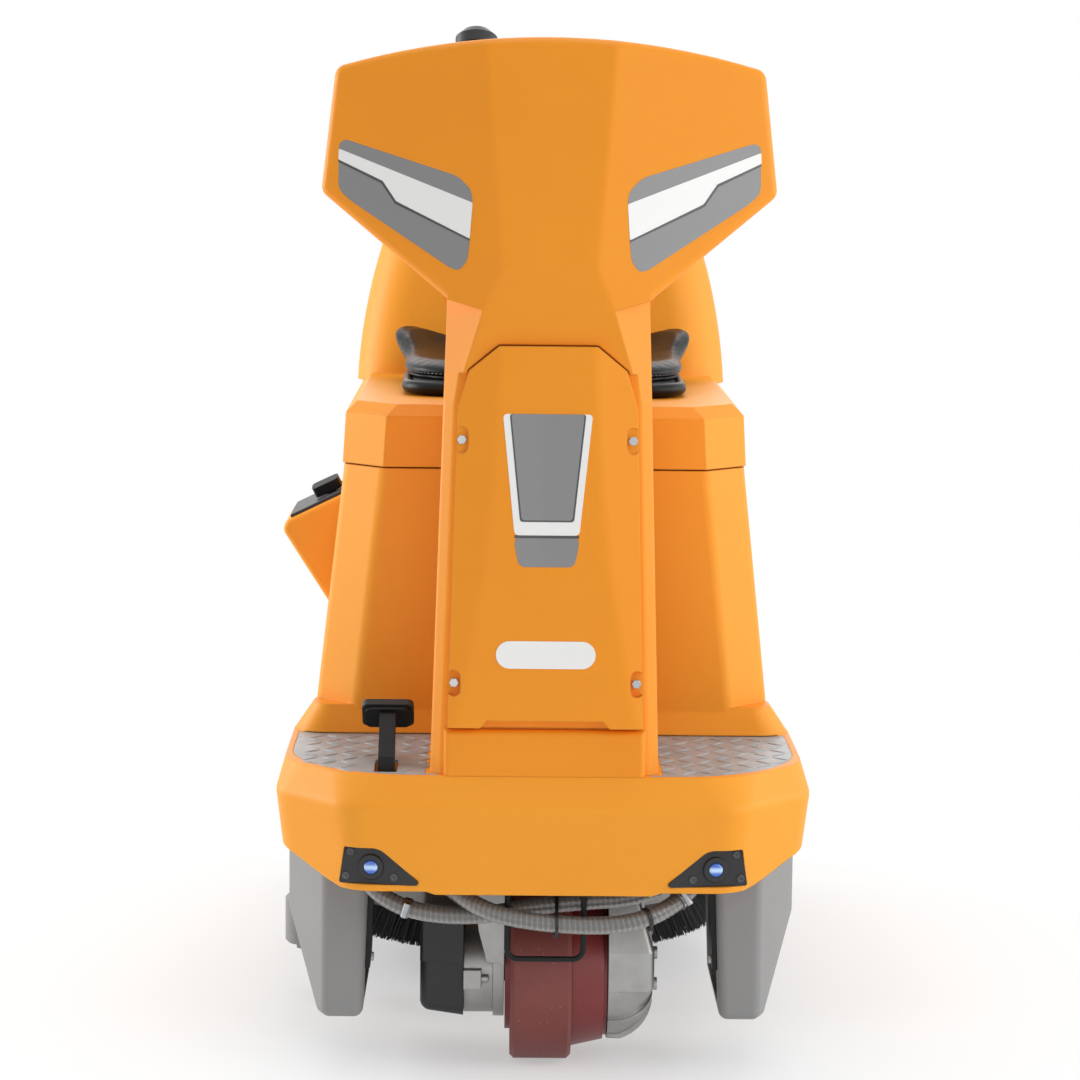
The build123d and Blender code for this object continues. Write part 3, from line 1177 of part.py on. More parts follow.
def drive_hub():
    """Hub with the tyre seat, a brake disc on the motor's side and a cone on the gear side."""
    stub_left = MOTOR_X + 1
    stub_right = GEAR_CASE_IN_X + STUB_R
    profile = [(stub_left, 0), (stub_left, STUB_R), (HUB_DISC_X, STUB_R), (HUB_DISC_X, HUB_DISC_R),
               (-TYRE_HALF, HUB_DISC_R), (-TYRE_HALF, TYRE_BORE_R), (TYRE_HALF + FIT, TYRE_BORE_R),
               (TYRE_HALF + FIT, HUB_CONE_R), (HUB_CONE_X, HUB_CONE_END_R), (HUB_CONE_X, GEAR_CASE_R - 2),
               (HUB_FACE_X, GEAR_CASE_R - 2), (HUB_FACE_X, STUB_R), (stub_right, STUB_R), (stub_right, 0)]
    return turned_x(profile, DRIVE_Y, DRIVE_Z)


def drive_fork():
    """Cast fork: turntable, bridge over the tyre and the arm on the motor's side with its front rib."""
    fork = rod((0, DRIVE_Y, FORK_TOP_Z - 1), (0, DRIVE_Y, GEAR_LOW_Z - GEAR_WEB), BEARING_BORE_R - RUNNING)
    fork += block(FORK_RIB_X, GEAR_CASE_TOP_X, DRIVE_Y - FORK_HALF_Y, DRIVE_Y + FORK_HALF_Y, FORK_LOW_Z, FORK_TOP_Z)
    fork += rod((MOTOR_X, DRIVE_Y, DRIVE_Z), (FORK_ARM_X, DRIVE_Y, DRIVE_Z), FORK_ARM_R)
    fork += block(MOTOR_X, FORK_ARM_X, DRIVE_Y - FORK_ARM_R, DRIVE_Y + FORK_ARM_R, DRIVE_Z, FORK_TOP_Z)
    rib = prism_y([(FORK_RIB_X, FORK_TOP_Z), (FORK_RIB_X, FORK_LOW_Z - 12), (FORK_RIB_X + 6, DRIVE_Z + 66),
                   (MOTOR_X - 8, DRIVE_Z + 28), (FORK_ARM_X, DRIVE_Z + 22), (FORK_ARM_X, FORK_TOP_Z)],
                  DRIVE_Y - FORK_HALF_Y - FORK_RIB_DEEP, DRIVE_Y - MOTOR_R - 1.5)
    fork += rib
    return fork - rod((MOTOR_X - 1, DRIVE_Y, DRIVE_Z), (FORK_ARM_X + 1, DRIVE_Y, DRIVE_Z), STUB_R + RUNNING)


def drive_motor():
    """Motor on the fork's arm, with a cable block and its bolt at the front."""
    end = MOTOR_X - MOTOR_LONG
    motor = rod((end, DRIVE_Y, DRIVE_Z), (MOTOR_X, DRIVE_Y, DRIVE_Z), MOTOR_R)
    motor += block(end, end + 22, DRIVE_Y - MOTOR_R - 10, DRIVE_Y - MOTOR_R + 12, DRIVE_Z - 12, DRIVE_Z + 12)
    return motor + rod((end + 20, DRIVE_Y - MOTOR_R - 3, DRIVE_Z), (end + 31, DRIVE_Y - MOTOR_R - 3, DRIVE_Z), 5)


def motor_cover():
    """Moulded cover of the motor's end, drawn in below its crease."""
    inner = MOTOR_X - MOTOR_LONG - FIT
    crease_z = DRIVE_Z + 22
    upper = prism_y([(MOTOR_COVER_X, MOTOR_COVER_TOP_Z), (MOTOR_COVER_X, crease_z), (inner, crease_z - 3),
                     (inner, MOTOR_COVER_TOP_Z)], DRIVE_Y - MOTOR_COVER_HALF_Y, DRIVE_Y + MOTOR_COVER_HALF_Y)
    lower = prism_y([(MOTOR_COVER_X, crease_z + 1), (MOTOR_COVER_X, MOTOR_COVER_LOW_Z + 8),
                     (inner, MOTOR_COVER_LOW_Z), (inner, crease_z + 1)],
                    DRIVE_Y - MOTOR_COVER_HALF_Y + 3, DRIVE_Y + MOTOR_COVER_HALF_Y - 3)
    soft = [e for e in lower.edges() if e.center().X < inner - 1 and e.center().Z < crease_z - 9]
    lower = fillet(soft, MOTOR_COVER_ROUND)
    edges = [e for e in upper.edges() if e.center().X < inner - 1 and e.center().Z > crease_z + 9]
    return fillet(edges, MOTOR_COVER_ROUND / 2) + lower


def gear_case_profile(grow):
    """The dome's outline as (x, radius), grown outwards for its ribs."""
    shoulder = (GEAR_CASE_IN_X + 13 + grow, GEAR_CASE_R + grow)
    tip = (GEAR_CASE_X, GEAR_CASE_R * 0.45 + grow)
    middle = (GEAR_CASE_X - 13 + grow / 2, GEAR_CASE_R * 0.76 + grow)
    edge = ThreePointArc(shoulder, middle, tip)
    rest = Polyline(tip, (GEAR_CASE_X, 0), (GEAR_CASE_IN_X, 0), (GEAR_CASE_IN_X, GEAR_CASE_R + grow), shoulder)
    return make_face(Curve() + [edge, rest])


def gear_housing():
    """Cast gear case: a dome below with cooling ribs, a flat-sided box above that holds it to the fork."""
    stand = Plane(origin=(0, DRIVE_Y, DRIVE_Z), x_dir=(1, 0, 0), z_dir=(0, -1, 0))
    axis = Axis((0, DRIVE_Y, DRIVE_Z), (1, 0, 0))
    case = revolve(stand * gear_case_profile(0), axis=axis)
    upper = prism_x([(DRIVE_Y - GEAR_CASE_R, DRIVE_Z - 9), (DRIVE_Y + GEAR_CASE_R, DRIVE_Z - 9),
                     (DRIVE_Y + GEAR_CASE_R, DRIVE_Z + 40), (DRIVE_Y + FORK_HALF_Y, FORK_LOW_Z),
                     (DRIVE_Y - FORK_HALF_Y, FORK_LOW_Z), (DRIVE_Y - GEAR_CASE_R, DRIVE_Z + 40)],
                    GEAR_CASE_IN_X, GEAR_CASE_X)
    upper = trimmed(upper, (GEAR_CASE_X, 0, DRIVE_Z + 40), (GEAR_CASE_X, 9, DRIVE_Z + 40),
                    (GEAR_CASE_TOP_X, 0, FORK_LOW_Z), (GEAR_CASE_IN_X, DRIVE_Y, DRIVE_Z))
    outer = [e for e in upper.edges() if e.center().X > GEAR_CASE_TOP_X - 1 and e.center().Z < FORK_LOW_Z - 1]
    case += fillet(outer, GEAR_CASE_ROUND)
    rib = extrude(stand * gear_case_profile(GEAR_RIB_HIGH), amount=GEAR_RIB_THICK / 2, both=True)
    for k in range(GEAR_CASE_RIBS):
        angle = 180 - 28 * (k - (GEAR_CASE_RIBS - 1) / 2)
        case += Pos(0, DRIVE_Y, DRIVE_Z) * Rot(angle, 0, 0) * Pos(0, -DRIVE_Y, -DRIVE_Z) * rib
    for dy in (-GEAR_CASE_R + 25, GEAR_CASE_R - 25):
        for dz in (-4, 36):
            case += rod((GEAR_CASE_X - 14, DRIVE_Y + dy, DRIVE_Z + dz), (GEAR_CASE_X + 4, DRIVE_Y + dy, DRIVE_Z + dz), 8)
    return case - rod((GEAR_CASE_IN_X - 1, DRIVE_Y, DRIVE_Z), (GEAR_CASE_IN_X + STUB_R + 1, DRIVE_Y, DRIVE_Z),
                      STUB_R + RUNNING)


# Front hoses: from the tank's underside down behind the bumper and across in front of the drive unit
SUPPLY_POINTS = [(-238, -585, HOSE_ROOF_Z), (-238, -585, 320), (-226, -600, 268), (-192, -617, 236),
                 (-140, -622, 221), (-80, -622, 219), (-15, -622, 231), (50, -622, 239), (110, -622, 243),
                 (160, -605, 262), (166, -585, 310), (166, -585, HOSE_ROOF_Z)]
RETURN_POINTS = [(-150, -585, HOSE_ROOF_Z), (-150, -585, 325), (-142, -602, 282), (-118, -617, 256),
                 (-76, -645, 234), (-28, -657, 223), (45, -657, 216), (105, -656, 219), (150, -640, 232),
                 (186, -612, 255), (206, -594, 300), (210, -586, 345), (210, -586, HOSE_ROOF_Z)]


def corner_radii(points):
    """The largest bend that each corner's two runs leave room for."""
    radii = []
    for before, here, after in zip(points, points[1:], points[2:]):
        arrive, leave = Vector(here) - Vector(before), Vector(after) - Vector(here)
        turn = radians(arrive.get_angle(leave))
        radii.append(0.45 * min(arrive.length, leave.length) / tan(turn / 2))
    return radii


def hose(points):
    radii = corner_radii(points)
    print("hose bends, mm:", [round(r) for r in radii])
    path = FilletPolyline(*points, radius=radii)
    start = Plane(origin=path @ 0, z_dir=path % 0)
    return sweep(start * (Circle(HOSE_R) - Circle(HOSE_BORE_R)), path)


def run_at(points, x):
    """Middle and direction of a hose where its straight run passes the upright plane at x."""
    for a, b in zip(points, points[1:]):
        if a[0] <= x < b[0]:
            share = (x - a[0]) / (b[0] - a[0])
            a, b = Vector(a), Vector(b)
            return a + (b - a) * share, (b - a).normalized()


def hose_band(points, x, wide, thick):
    """A strap round one hose."""
    middle, along = run_at(points, x)
    place = Plane(origin=middle - along * (wide / 2), z_dir=along)
    return extrude(place * (Circle(HOSE_R + FIT + thick) - Circle(HOSE_R + FIT)), amount=wide)


def hose_ties():
    """One plastic tie round both hoses and one round the return hose alone, each with its square head."""
    first, _ = run_at(SUPPLY_POINTS, TIE_BOTH_X)
    second, along = run_at(RETURN_POINTS, TIE_BOTH_X)
    rings = [Pos(p.Y, p.Z, 0) * Circle(HOSE_R + 2 * FIT) for p in (first, second)]
    inner = make_hull(rings[0].edges() + rings[1].edges())
    loop = offset(inner, amount=TIE_THICK) - inner
    place = Plane(origin=(TIE_BOTH_X - TIE_WIDE / 2, 0, 0), x_dir=(0, 1, 0), z_dir=(1, 0, 0))
    both = extrude(place * loop, amount=TIE_WIDE)
    ties = [both + tie_head(second, along)]
    single, along = run_at(RETURN_POINTS, TIE_X)
    ties.append(hose_band(RETURN_POINTS, TIE_X, TIE_WIDE, TIE_THICK) + tie_head(single, along))
    return Compound(children=ties)


def tie_head(middle, along):
    """The square head of a tie, under the hose."""
    down = (along * along.Z - Vector(0, 0, 1)).normalized()
    seat = middle + down * (HOSE_R + 2 * FIT + TIE_HEAD / 2)
    return Plane(origin=seat, x_dir=along, z_dir=down) * Box(TIE_HEAD + 1, TIE_HEAD + 2, TIE_HEAD)


def hose_clamps():
    """Steel band clamps with their screw housings."""
    clamps = []
    for points, x in ((SUPPLY_POINTS, CLAMP_SUPPLY_X), (RETURN_POINTS, CLAMP_RETURN_X)):
        middle, along = run_at(points, x)
        out = Vector(0, -1, 0) - along * along.dot(Vector(0, -1, 0))
        seat = middle + out.normalized() * (HOSE_R + FIT + CLAMP_THICK + CLAMP_SCREW_R - 1)
        across = along.cross(out).normalized() * CLAMP_WIDE
        clamps.append(hose_band(points, x, CLAMP_WIDE, CLAMP_THICK) + rod(seat - across, seat + across, CLAMP_SCREW_R))
    return Compound(children=clamps)


# Accelerator pedal
def pad_plane():
    slope = radians(PEDAL_SLOPE)
    return Plane(origin=(PEDAL_X, PEDAL_PAD_Y, PEDAL_PAD_Z), x_dir=(1, 0, 0), z_dir=(0, sin(slope), cos(slope)))


def accelerator_pedal():
    """Bent arm from the pivot under the footboard up to the plate of the pad."""
    pivot = Vector(0, PEDAL_PIVOT_Y, PEDAL_PIVOT_Z)
    pad = Vector(0, PEDAL_PAD_Y, PEDAL_PAD_Z)
    lower = 1.8 * PEDAL_PIN_R
    knee = Vector(0, PEDAL_PIVOT_Y + 8, FOOT_Z + 12)
    arm = prism_x([(pivot.Y - lower, pivot.Z), (knee.Y - 10, knee.Z), (pad.Y - 12, pad.Z + 6), (pad.Y, pad.Z - 4),
                   (knee.Y + 12, knee.Z - 12), (pivot.Y + lower, pivot.Z)],
                  PEDAL_X - PEDAL_ARM_WIDE / 2, PEDAL_X + PEDAL_ARM_WIDE / 2)
    arm += rod((PEDAL_X - PEDAL_ARM_WIDE / 2, pivot.Y, pivot.Z), (PEDAL_X + PEDAL_ARM_WIDE / 2, pivot.Y, pivot.Z), lower)
    reach = PEDAL_ARM_WIDE / 2 + FIT + EAR_THICK
    arm += rod((PEDAL_X - reach, pivot.Y, pivot.Z), (PEDAL_X + reach, pivot.Y, pivot.Z), PEDAL_PIN_R)
    plate = extrude(pad_plane() * RectangleRounded(PEDAL_PAD_WIDE - 8, PEDAL_PAD_LONG - 6, 8), amount=-PEDAL_PLATE_THICK)
    return arm + plate


def pedal_pad():
    """Ribbed rubber pad on the pedal's plate."""
    pad = extrude(pad_plane() * RectangleRounded(PEDAL_PAD_WIDE, PEDAL_PAD_LONG, 8), amount=PEDAL_PAD_THICK)
    top = pad_plane().offset(PEDAL_PAD_THICK)
    for k in range(PAD_GROOVES):
        v = (k - (PAD_GROOVES - 1) / 2) * PEDAL_PAD_LONG / (PAD_GROOVES + 1)
        pad -= extrude(top * Pos(0, v, 0) * Rectangle(PEDAL_PAD_WIDE + 2, 2.5), amount=-2.5)
    return pad


def pedal_bracket():
    """Two lugs under the footboard that carry the pedal's pin."""
    x0 = PEDAL_ARM_WIDE / 2 + FIT
    roof_z = FOOT_Z - FOOT_THICK
    lug = block(x0, x0 + EAR_THICK, PEDAL_PIVOT_Y - 12, PEDAL_PIVOT_Y + 12, PEDAL_PIVOT_Z - 11, roof_z)
    lug += block(x0, x0 + 2 * EAR_THICK, PEDAL_PIVOT_Y - 12, PEDAL_PIVOT_Y + 12, roof_z - 4, roof_z)
    pair = lug + mirrored(lug)
    pair -= rod((-50, PEDAL_PIVOT_Y, PEDAL_PIVOT_Z), (50, PEDAL_PIVOT_Y, PEDAL_PIVOT_Z), PEDAL_PIN_R + RUNNING)
    bridge = block(-x0 - EAR_THICK, x0 + EAR_THICK, SLOT_REAR_Y + 1, SLOT_REAR_Y + 9, roof_z - 4, roof_z)
    sides = block(x0 + 4, x0 + 2 * EAR_THICK, PEDAL_PIVOT_Y, SLOT_REAR_Y + 9, roof_z - 4, roof_z)
    return Pos(PEDAL_X, 0, 0) * (pair + bridge + sides + mirrored(sides))


# Lever
def lever_space():
    """Slot for the lever in the pod, with the bore of its pin."""
    half_slot = LEVER_THICK / 2 + 2
    slot = block(LEVER_X - half_slot, LEVER_X + half_slot, LEVER_PIVOT_Y - LEVER_SLOT, LEVER_PIVOT_Y + LEVER_SLOT,
                 LEVER_PIVOT_Z - LEVER_EYE_R - 2, POD_TOP[1] + 5)
    return slot + lever_pin(LEVER_PIN_R + RUNNING)


def lever_pin(radius):
    return rod((LEVER_X - LEVER_PIN_LONG / 2, LEVER_PIVOT_Y, LEVER_PIVOT_Z),
               (LEVER_X + LEVER_PIN_LONG / 2, LEVER_PIVOT_Y, LEVER_PIVOT_Z), radius)


def lever_gate():
    """Slotted plate on the pod's slope."""
    gate = prism_y([pod_point(GATE_START, 0), pod_point(GATE_END, 0), pod_point(GATE_END, GATE_THICK),
                    pod_point(GATE_START, GATE_THICK)], POD_FRONT_Y + 11, POD_REAR_Y - 12)
    return gate - lever_space()


def squeegee_lever():
    """Flat lever on its pin with a moulded grip, leaning forward while the squeegee is up."""
    share = (LEVER_X - POD_TOP[0]) / (POD_TIP[0] - POD_TOP[0])
    slope_z = POD_TOP[1] + share * (POD_TIP[1] - POD_TOP[1])
    bar = block(LEVER_X - LEVER_THICK / 2, LEVER_X + LEVER_THICK / 2, LEVER_PIVOT_Y - LEVER_HALF_WIDE,
                LEVER_PIVOT_Y + LEVER_HALF_WIDE, LEVER_PIVOT_Z, slope_z + LEVER_GRIP_LIFT + LEVER_GRIP_HIGH / 2)
    bar += rod((LEVER_X - LEVER_THICK / 2, LEVER_PIVOT_Y, LEVER_PIVOT_Z),
               (LEVER_X + LEVER_THICK / 2, LEVER_PIVOT_Y, LEVER_PIVOT_Z), LEVER_EYE_R)
    start, end = LEVER_GRIP_START, LEVER_GRIP_START + LEVER_GRIP_WIDE
    low, top = LEVER_GRIP_LIFT, LEVER_GRIP_LIFT + LEVER_GRIP_HIGH
    grip = prism_y([pod_point(start, low), pod_point(end, low), pod_point(end, top), pod_point(start, top)],
                   LEVER_PIVOT_Y - LEVER_GRIP_LONG / 2, LEVER_PIVOT_Y + LEVER_GRIP_LONG / 2)
    ends = [e for e in grip.edges() if abs(e.tangent_at(0.5).Y) < 0.1 and abs(e.tangent_at(0.5).Z) > 0.7]
    lever = bar + fillet(ends, LEVER_GRIP_ROUND) + lever_pin(LEVER_PIN_R)
    return lever.rotate(Axis((0, LEVER_PIVOT_Y, LEVER_PIVOT_Z), (1, 0, 0)), LEVER_LEAN)


# Brush head and its linkage
def bar_between(x0, x1, start, end, radius):
    """A flat bar with round ends between two (y, z) points."""
    a, b = Vector(0, *start), Vector(0, *end)
    side = (b - a).normalized().cross(Vector(1, 0, 0)) * radius
    points = [a + side, b + side, b - side, a - side]
    bar = prism_x([(p.Y, p.Z) for p in points], x0, x1)
    for y, z in (start, end):
        bar += rod((x0, y, z), (x1, y, z), radius)
    return bar


def lift_arms():
    """Two parallel arms joined by a tube, with pin stubs at both ends."""
    start, end = (PIVOT_Y, PIVOT_Z), (DECK_PIVOT_Y, DECK_PIVOT_Z)
    arm = bar_between(ARM_X, ARM_X + ARM_THICK, start, end, ARM_EYE_R - 1)
    for y, z in (start, end):
        arm += rod((ARM_X, y, z), (ARM_X + ARM_THICK + FIT + EAR_THICK, y, z), PIN_R)
    middle_y = PIVOT_Y + (DECK_PIVOT_Y - PIVOT_Y) * ARM_TUBE_SHARE
    middle_z = PIVOT_Z + (DECK_PIVOT_Z - PIVOT_Z) * ARM_TUBE_SHARE
    return arm + mirrored(arm) + rod((-ARM_X - 1, middle_y, middle_z), (ARM_X + 1, middle_y, middle_z), ARM_TUBE_R)


def upper_link():
    start, end = (PIVOT_Y, LINK_PIVOT_Z), (DECK_PIVOT_Y, DECK_LINK_Z)
    link = bar_between(-LINK_THICK / 2, LINK_THICK / 2, start, end, ARM_EYE_R - 1)
    reach = LINK_THICK / 2 + FIT + EAR_THICK
    for y, z in (start, end):
        link += rod((-reach, y, z), (reach, y, z), PIN_R)
    return link


def brush_deck():
    """Round deck with a skirt, the pivot lugs, the motor's shaft hole and the wall roller's arm."""
    low = DECK_Z - DECK_SKIRT_HIGH
    top = DECK_Z + DECK_THICK
    deck = turned_z([(DECK_HOLE_R, DECK_Z), (DECK_R - DECK_THICK, DECK_Z), (DECK_R - DECK_THICK, low),
                     (DECK_R, low), (DECK_R, top - 4), (DECK_R - 4, top), (DECK_HOLE_R, top)], BRUSH_X, BRUSH_Y)
    front, rear = DECK_PIVOT_Y - ARM_EYE_R, DECK_PIVOT_Y + ARM_EYE_R
    deck += frame_ears(ARM_X + ARM_THICK + FIT, EAR_THICK, front, rear, top - 1, DECK_PIVOT_Z + ARM_EYE_R,
                       DECK_PIVOT_Y, DECK_PIVOT_Z, RUNNING)
    deck += frame_ears(LINK_THICK / 2 + FIT, EAR_THICK, front, rear, top - 1, DECK_LINK_Z + ARM_EYE_R,
                       DECK_PIVOT_Y, DECK_LINK_Z, OPEN_PLAY)
    out = Vector(ROLLER_X - BRUSH_X, ROLLER_Y - BRUSH_Y, 0).normalized()
    across = Vector(-out.Y, out.X, 0) * ROLLER_ARM_HALF
    root = Vector(BRUSH_X, BRUSH_Y, 0) + out * (DECK_R - DECK_THICK / 2)
    end = Vector(ROLLER_X, ROLLER_Y, 0)
    arm = prism_z([(p.X, p.Y) for p in (root + across, end + across, end - across, root - across)],
                  ROLLER_ARM_Z, ROLLER_ARM_Z + ROLLER_ARM_THICK)
    arm += rod((ROLLER_X, ROLLER_Y, ROLLER_ARM_Z), (ROLLER_X, ROLLER_Y, ROLLER_ARM_Z + ROLLER_ARM_THICK),
               ROLLER_ARM_HALF)
    arm += rod((ROLLER_X, ROLLER_Y, ROLLER_LOW_Z - 4), (ROLLER_X, ROLLER_Y, ROLLER_ARM_Z + 1), ROLLER_PIN_R)
    arm += rod((ROLLER_X, ROLLER_Y, ROLLER_LOW_Z - 8), (ROLLER_X, ROLLER_Y, ROLLER_LOW_Z - FIT), 2 * ROLLER_PIN_R)
    arm += rod((ROLLER_X, ROLLER_Y, ROLLER_LOW_Z + ROLLER_HIGH + FIT), (ROLLER_X, ROLLER_Y, ROLLER_ARM_Z + 1),
               2 * ROLLER_PIN_R)
    return deck + arm


def deck_roller():
    top = ROLLER_LOW_Z + ROLLER_HIGH
    bore = ROLLER_PIN_R + RUNNING
    return turned_z([(bore, ROLLER_LOW_Z), (ROLLER_R - 4, ROLLER_LOW_Z), (ROLLER_R, ROLLER_LOW_Z + 4),
                     (ROLLER_R, top - 4), (ROLLER_R - 4, top), (bore, top)], ROLLER_X, ROLLER_Y)


def brush_motor():
    """Upright motor on the deck: flange, can and end cap, with a bore for the brush shaft."""
    low = DECK_Z + DECK_THICK
    top = low + BRUSH_MOTOR_HIGH
    bore = BRUSH_SHAFT_R + RUNNING
    return turned_z([(bore, low), (BRUSH_MOTOR_R + 14, low), (BRUSH_MOTOR_R + 14, low + 9), (BRUSH_MOTOR_R, low + 9),
                     (BRUSH_MOTOR_R, top - 22), (BRUSH_MOTOR_R - 6, top - 20), (BRUSH_MOTOR_R - 10, top), (0, top),
                     (0, BRUSH_SHAFT_TOP_Z + 1), (bore, BRUSH_SHAFT_TOP_Z + 1)], BRUSH_X, BRUSH_Y)


def brush_plate():
    """Disc that carries the bristles, with its hub and shaft."""
    top = BRUSH_PLATE_Z + BRUSH_PLATE_THICK
    return turned_z([(0, BRUSH_PLATE_Z), (BRUSH_PLATE_R, BRUSH_PLATE_Z), (BRUSH_PLATE_R, top - 3),
                     (BRUSH_PLATE_R - 3, top), (BRUSH_HUB_R, top), (BRUSH_HUB_R, DECK_Z - 2), (BRUSH_SHAFT_R, DECK_Z - 2),
                     (BRUSH_SHAFT_R, BRUSH_SHAFT_TOP_Z), (0, BRUSH_SHAFT_TOP_Z)], BRUSH_X, BRUSH_Y)


def brush_bristles():
    """Rows of four-sided strands under a thin backing, spreading outwards to the brush's full radius."""
    root_z = BRUSH_TIP_Z + BRISTLE_HIGH
    backing = turned_z([(STRAND_FIRST_R - STRAND_ROW / 2, root_z), (BRUSH_PLATE_R, root_z),
                        (BRUSH_PLATE_R, BRUSH_PLATE_Z), (STRAND_FIRST_R - STRAND_ROW / 2, BRUSH_PLATE_Z)],
                       BRUSH_X, BRUSH_Y)
    rows = int((BRUSH_PLATE_R - STRAND_FIRST_R) / STRAND_ROW) + 1
    last_r = STRAND_FIRST_R + (rows - 1) * STRAND_ROW
    spread = (BRUSH_R - STRAND_R) / last_r - 1
    strands = []
    for row in range(rows):
        r = STRAND_FIRST_R + row * STRAND_ROW
        count = int(2 * pi * r / STRAND_PITCH)
        for k in range(count):
            angle = 2 * pi * k / count
            out = Vector(cos(angle), sin(angle), 0)
            start = Vector(BRUSH_X, BRUSH_Y, root_z + 1) + out * r
            root = Plane(origin=start, x_dir=out, z_dir=(0, 0, 1)) * Rectangle(2 * STRAND_R, 2 * STRAND_R)
            lean = out * (r * spread) - Vector(0, 0, BRISTLE_HIGH + 1)
            strands.append(extrude(root, amount=lean.length, dir=lean.normalized()))
    return backing.fuse(*strands)


# Squeegee
def squeegee_arm():
    """Two bars from the frame's lugs to the boss of the swing pin."""
    outer = LIFT_EAR_X - FIT
    flat_z = SWING_ARM_Z + SWING_ARM_THICK / 2
    bar = bar_between(outer - ARM_THICK, outer, (LIFT_Y, LIFT_Z), (SWING_Y - SWING_BOSS_R, flat_z), SWING_ARM_THICK / 2)
    bar += rod((outer - ARM_THICK, LIFT_Y, LIFT_Z), (outer, LIFT_Y, LIFT_Z), ARM_EYE_R - 1)
    bar += rod((outer - ARM_THICK, LIFT_Y, LIFT_Z), (outer + FIT + EAR_THICK, LIFT_Y, LIFT_Z), PIN_R)
    arm = bar + mirrored(bar)
    arm += block(-outer, outer, SWING_Y - 2 * SWING_BOSS_R, SWING_Y, SWING_ARM_Z, SWING_ARM_Z + SWING_ARM_THICK)
    arm += rod((0, SWING_Y, SWING_ARM_Z), (0, SWING_Y, SWING_ARM_Z + SWING_ARM_THICK), SWING_BOSS_R)
    return arm - rod((0, SWING_Y, 0), (0, SWING_Y, RAIL_LOW_Z), SWING_PIN_R + RUNNING)


SQUEEGEE_SAG = SQUEEGEE_MID_Y - SQUEEGEE_END_Y
SQUEEGEE_ARC_R = (SQUEEGEE_HALF ** 2 + SQUEEGEE_SAG ** 2) / (2 * SQUEEGEE_SAG)
SQUEEGEE_ARC_Y = SQUEEGEE_MID_Y - SQUEEGEE_ARC_R


def arc_strip(near, far, half, z0, z1):
    """A curved strip between two offsets from the squeegee's middle arc."""
    ring = Circle(SQUEEGEE_ARC_R + far) - Circle(SQUEEGEE_ARC_R + near)
    window = Pos(0, SQUEEGEE_ARC_R) * Rectangle(2 * half, SQUEEGEE_ARC_R)
    return Pos(0, SQUEEGEE_ARC_Y, z0) * extrude(ring & window, amount=z1 - z0)


def clamp_knob_places():
    y = SQUEEGEE_ARC_Y + (SQUEEGEE_ARC_R ** 2 - CLAMP_KNOB_X ** 2) ** 0.5
    return [(side * CLAMP_KNOB_X, y) for side in (-1, 1)]


def squeegee_beam():
    """Curved beam with the swing pin's bracket and the suction spigot."""
    beam = arc_strip(-SQUEEGEE_HALF_DEEP, SQUEEGEE_HALF_DEEP, SQUEEGEE_HALF - 10, BEAM_LOW_Z, BEAM_TOP_Z)
    plate_top = BEAM_TOP_Z + BRACKET_THICK
    beam += block(-BRACKET_HALF, BRACKET_HALF, SWING_Y - SWING_BOSS_R, SQUEEGEE_MID_Y, BEAM_TOP_Z, plate_top)
    arm_top = SWING_ARM_Z + SWING_ARM_THICK
    beam += rod((0, SWING_Y, BEAM_TOP_Z), (0, SWING_Y, SWING_ARM_Z - FIT), 2 * SWING_PIN_R)
    beam += rod((0, SWING_Y, BEAM_TOP_Z), (0, SWING_Y, arm_top + 7), SWING_PIN_R)
    beam += rod((0, SWING_Y, arm_top + FIT), (0, SWING_Y, arm_top + 7), 1.7 * SWING_PIN_R)
    shoulder = plate_top + 2
    spigot_top = shoulder + SPIGOT_LAND
    beam += rod((0, SQUEEGEE_MID_Y, BEAM_TOP_Z), (0, SQUEEGEE_MID_Y, shoulder), SPIGOT_COLLAR_R)
    beam += rod((0, SQUEEGEE_MID_Y, BEAM_TOP_Z), (0, SQUEEGEE_MID_Y, spigot_top), SPIGOT_R)
    beam -= rod((0, SQUEEGEE_MID_Y, BEAM_LOW_Z - 1), (0, SQUEEGEE_MID_Y, spigot_top + 1), SPIGOT_BORE_R)
    for x, y in clamp_knob_places():
        beam -= rod((x, y, BEAM_TOP_Z - CLAMP_STUD_LONG - 1), (x, y, BEAM_TOP_Z + 1), CLAMP_STUD_R + RUNNING)
    return beam


def squeegee_blade(near):
    """Rubber blade along one face of the beam."""
    return arc_strip(near, near + BLADE_THICK, SQUEEGEE_HALF, BLADE_LOW_Z, BLADE_TOP_Z)


def squeegee_knobs():
    """Five-lobed knobs with their studs."""
    knobs = []
    for x, y in clamp_knob_places():
        knob = rod((x, y, BEAM_TOP_Z), (x, y, BEAM_TOP_Z + CLAMP_KNOB_HIGH), CLAMP_KNOB_R)
        for k in range(5):
            angle = radians(72 * k)
            px, py = x + 1.1 * CLAMP_KNOB_R * cos(angle), y + 1.1 * CLAMP_KNOB_R * sin(angle)
            knob -= rod((px, py, BEAM_TOP_Z + 8), (px, py, BEAM_TOP_Z + CLAMP_KNOB_HIGH + 1), CLAMP_KNOB_R / 3)
        knob += rod((x, y, BEAM_TOP_Z - CLAMP_STUD_LONG), (x, y, BEAM_TOP_Z + 1), CLAMP_STUD_R)
        knobs.append(knob)
    return Compound(children=knobs)


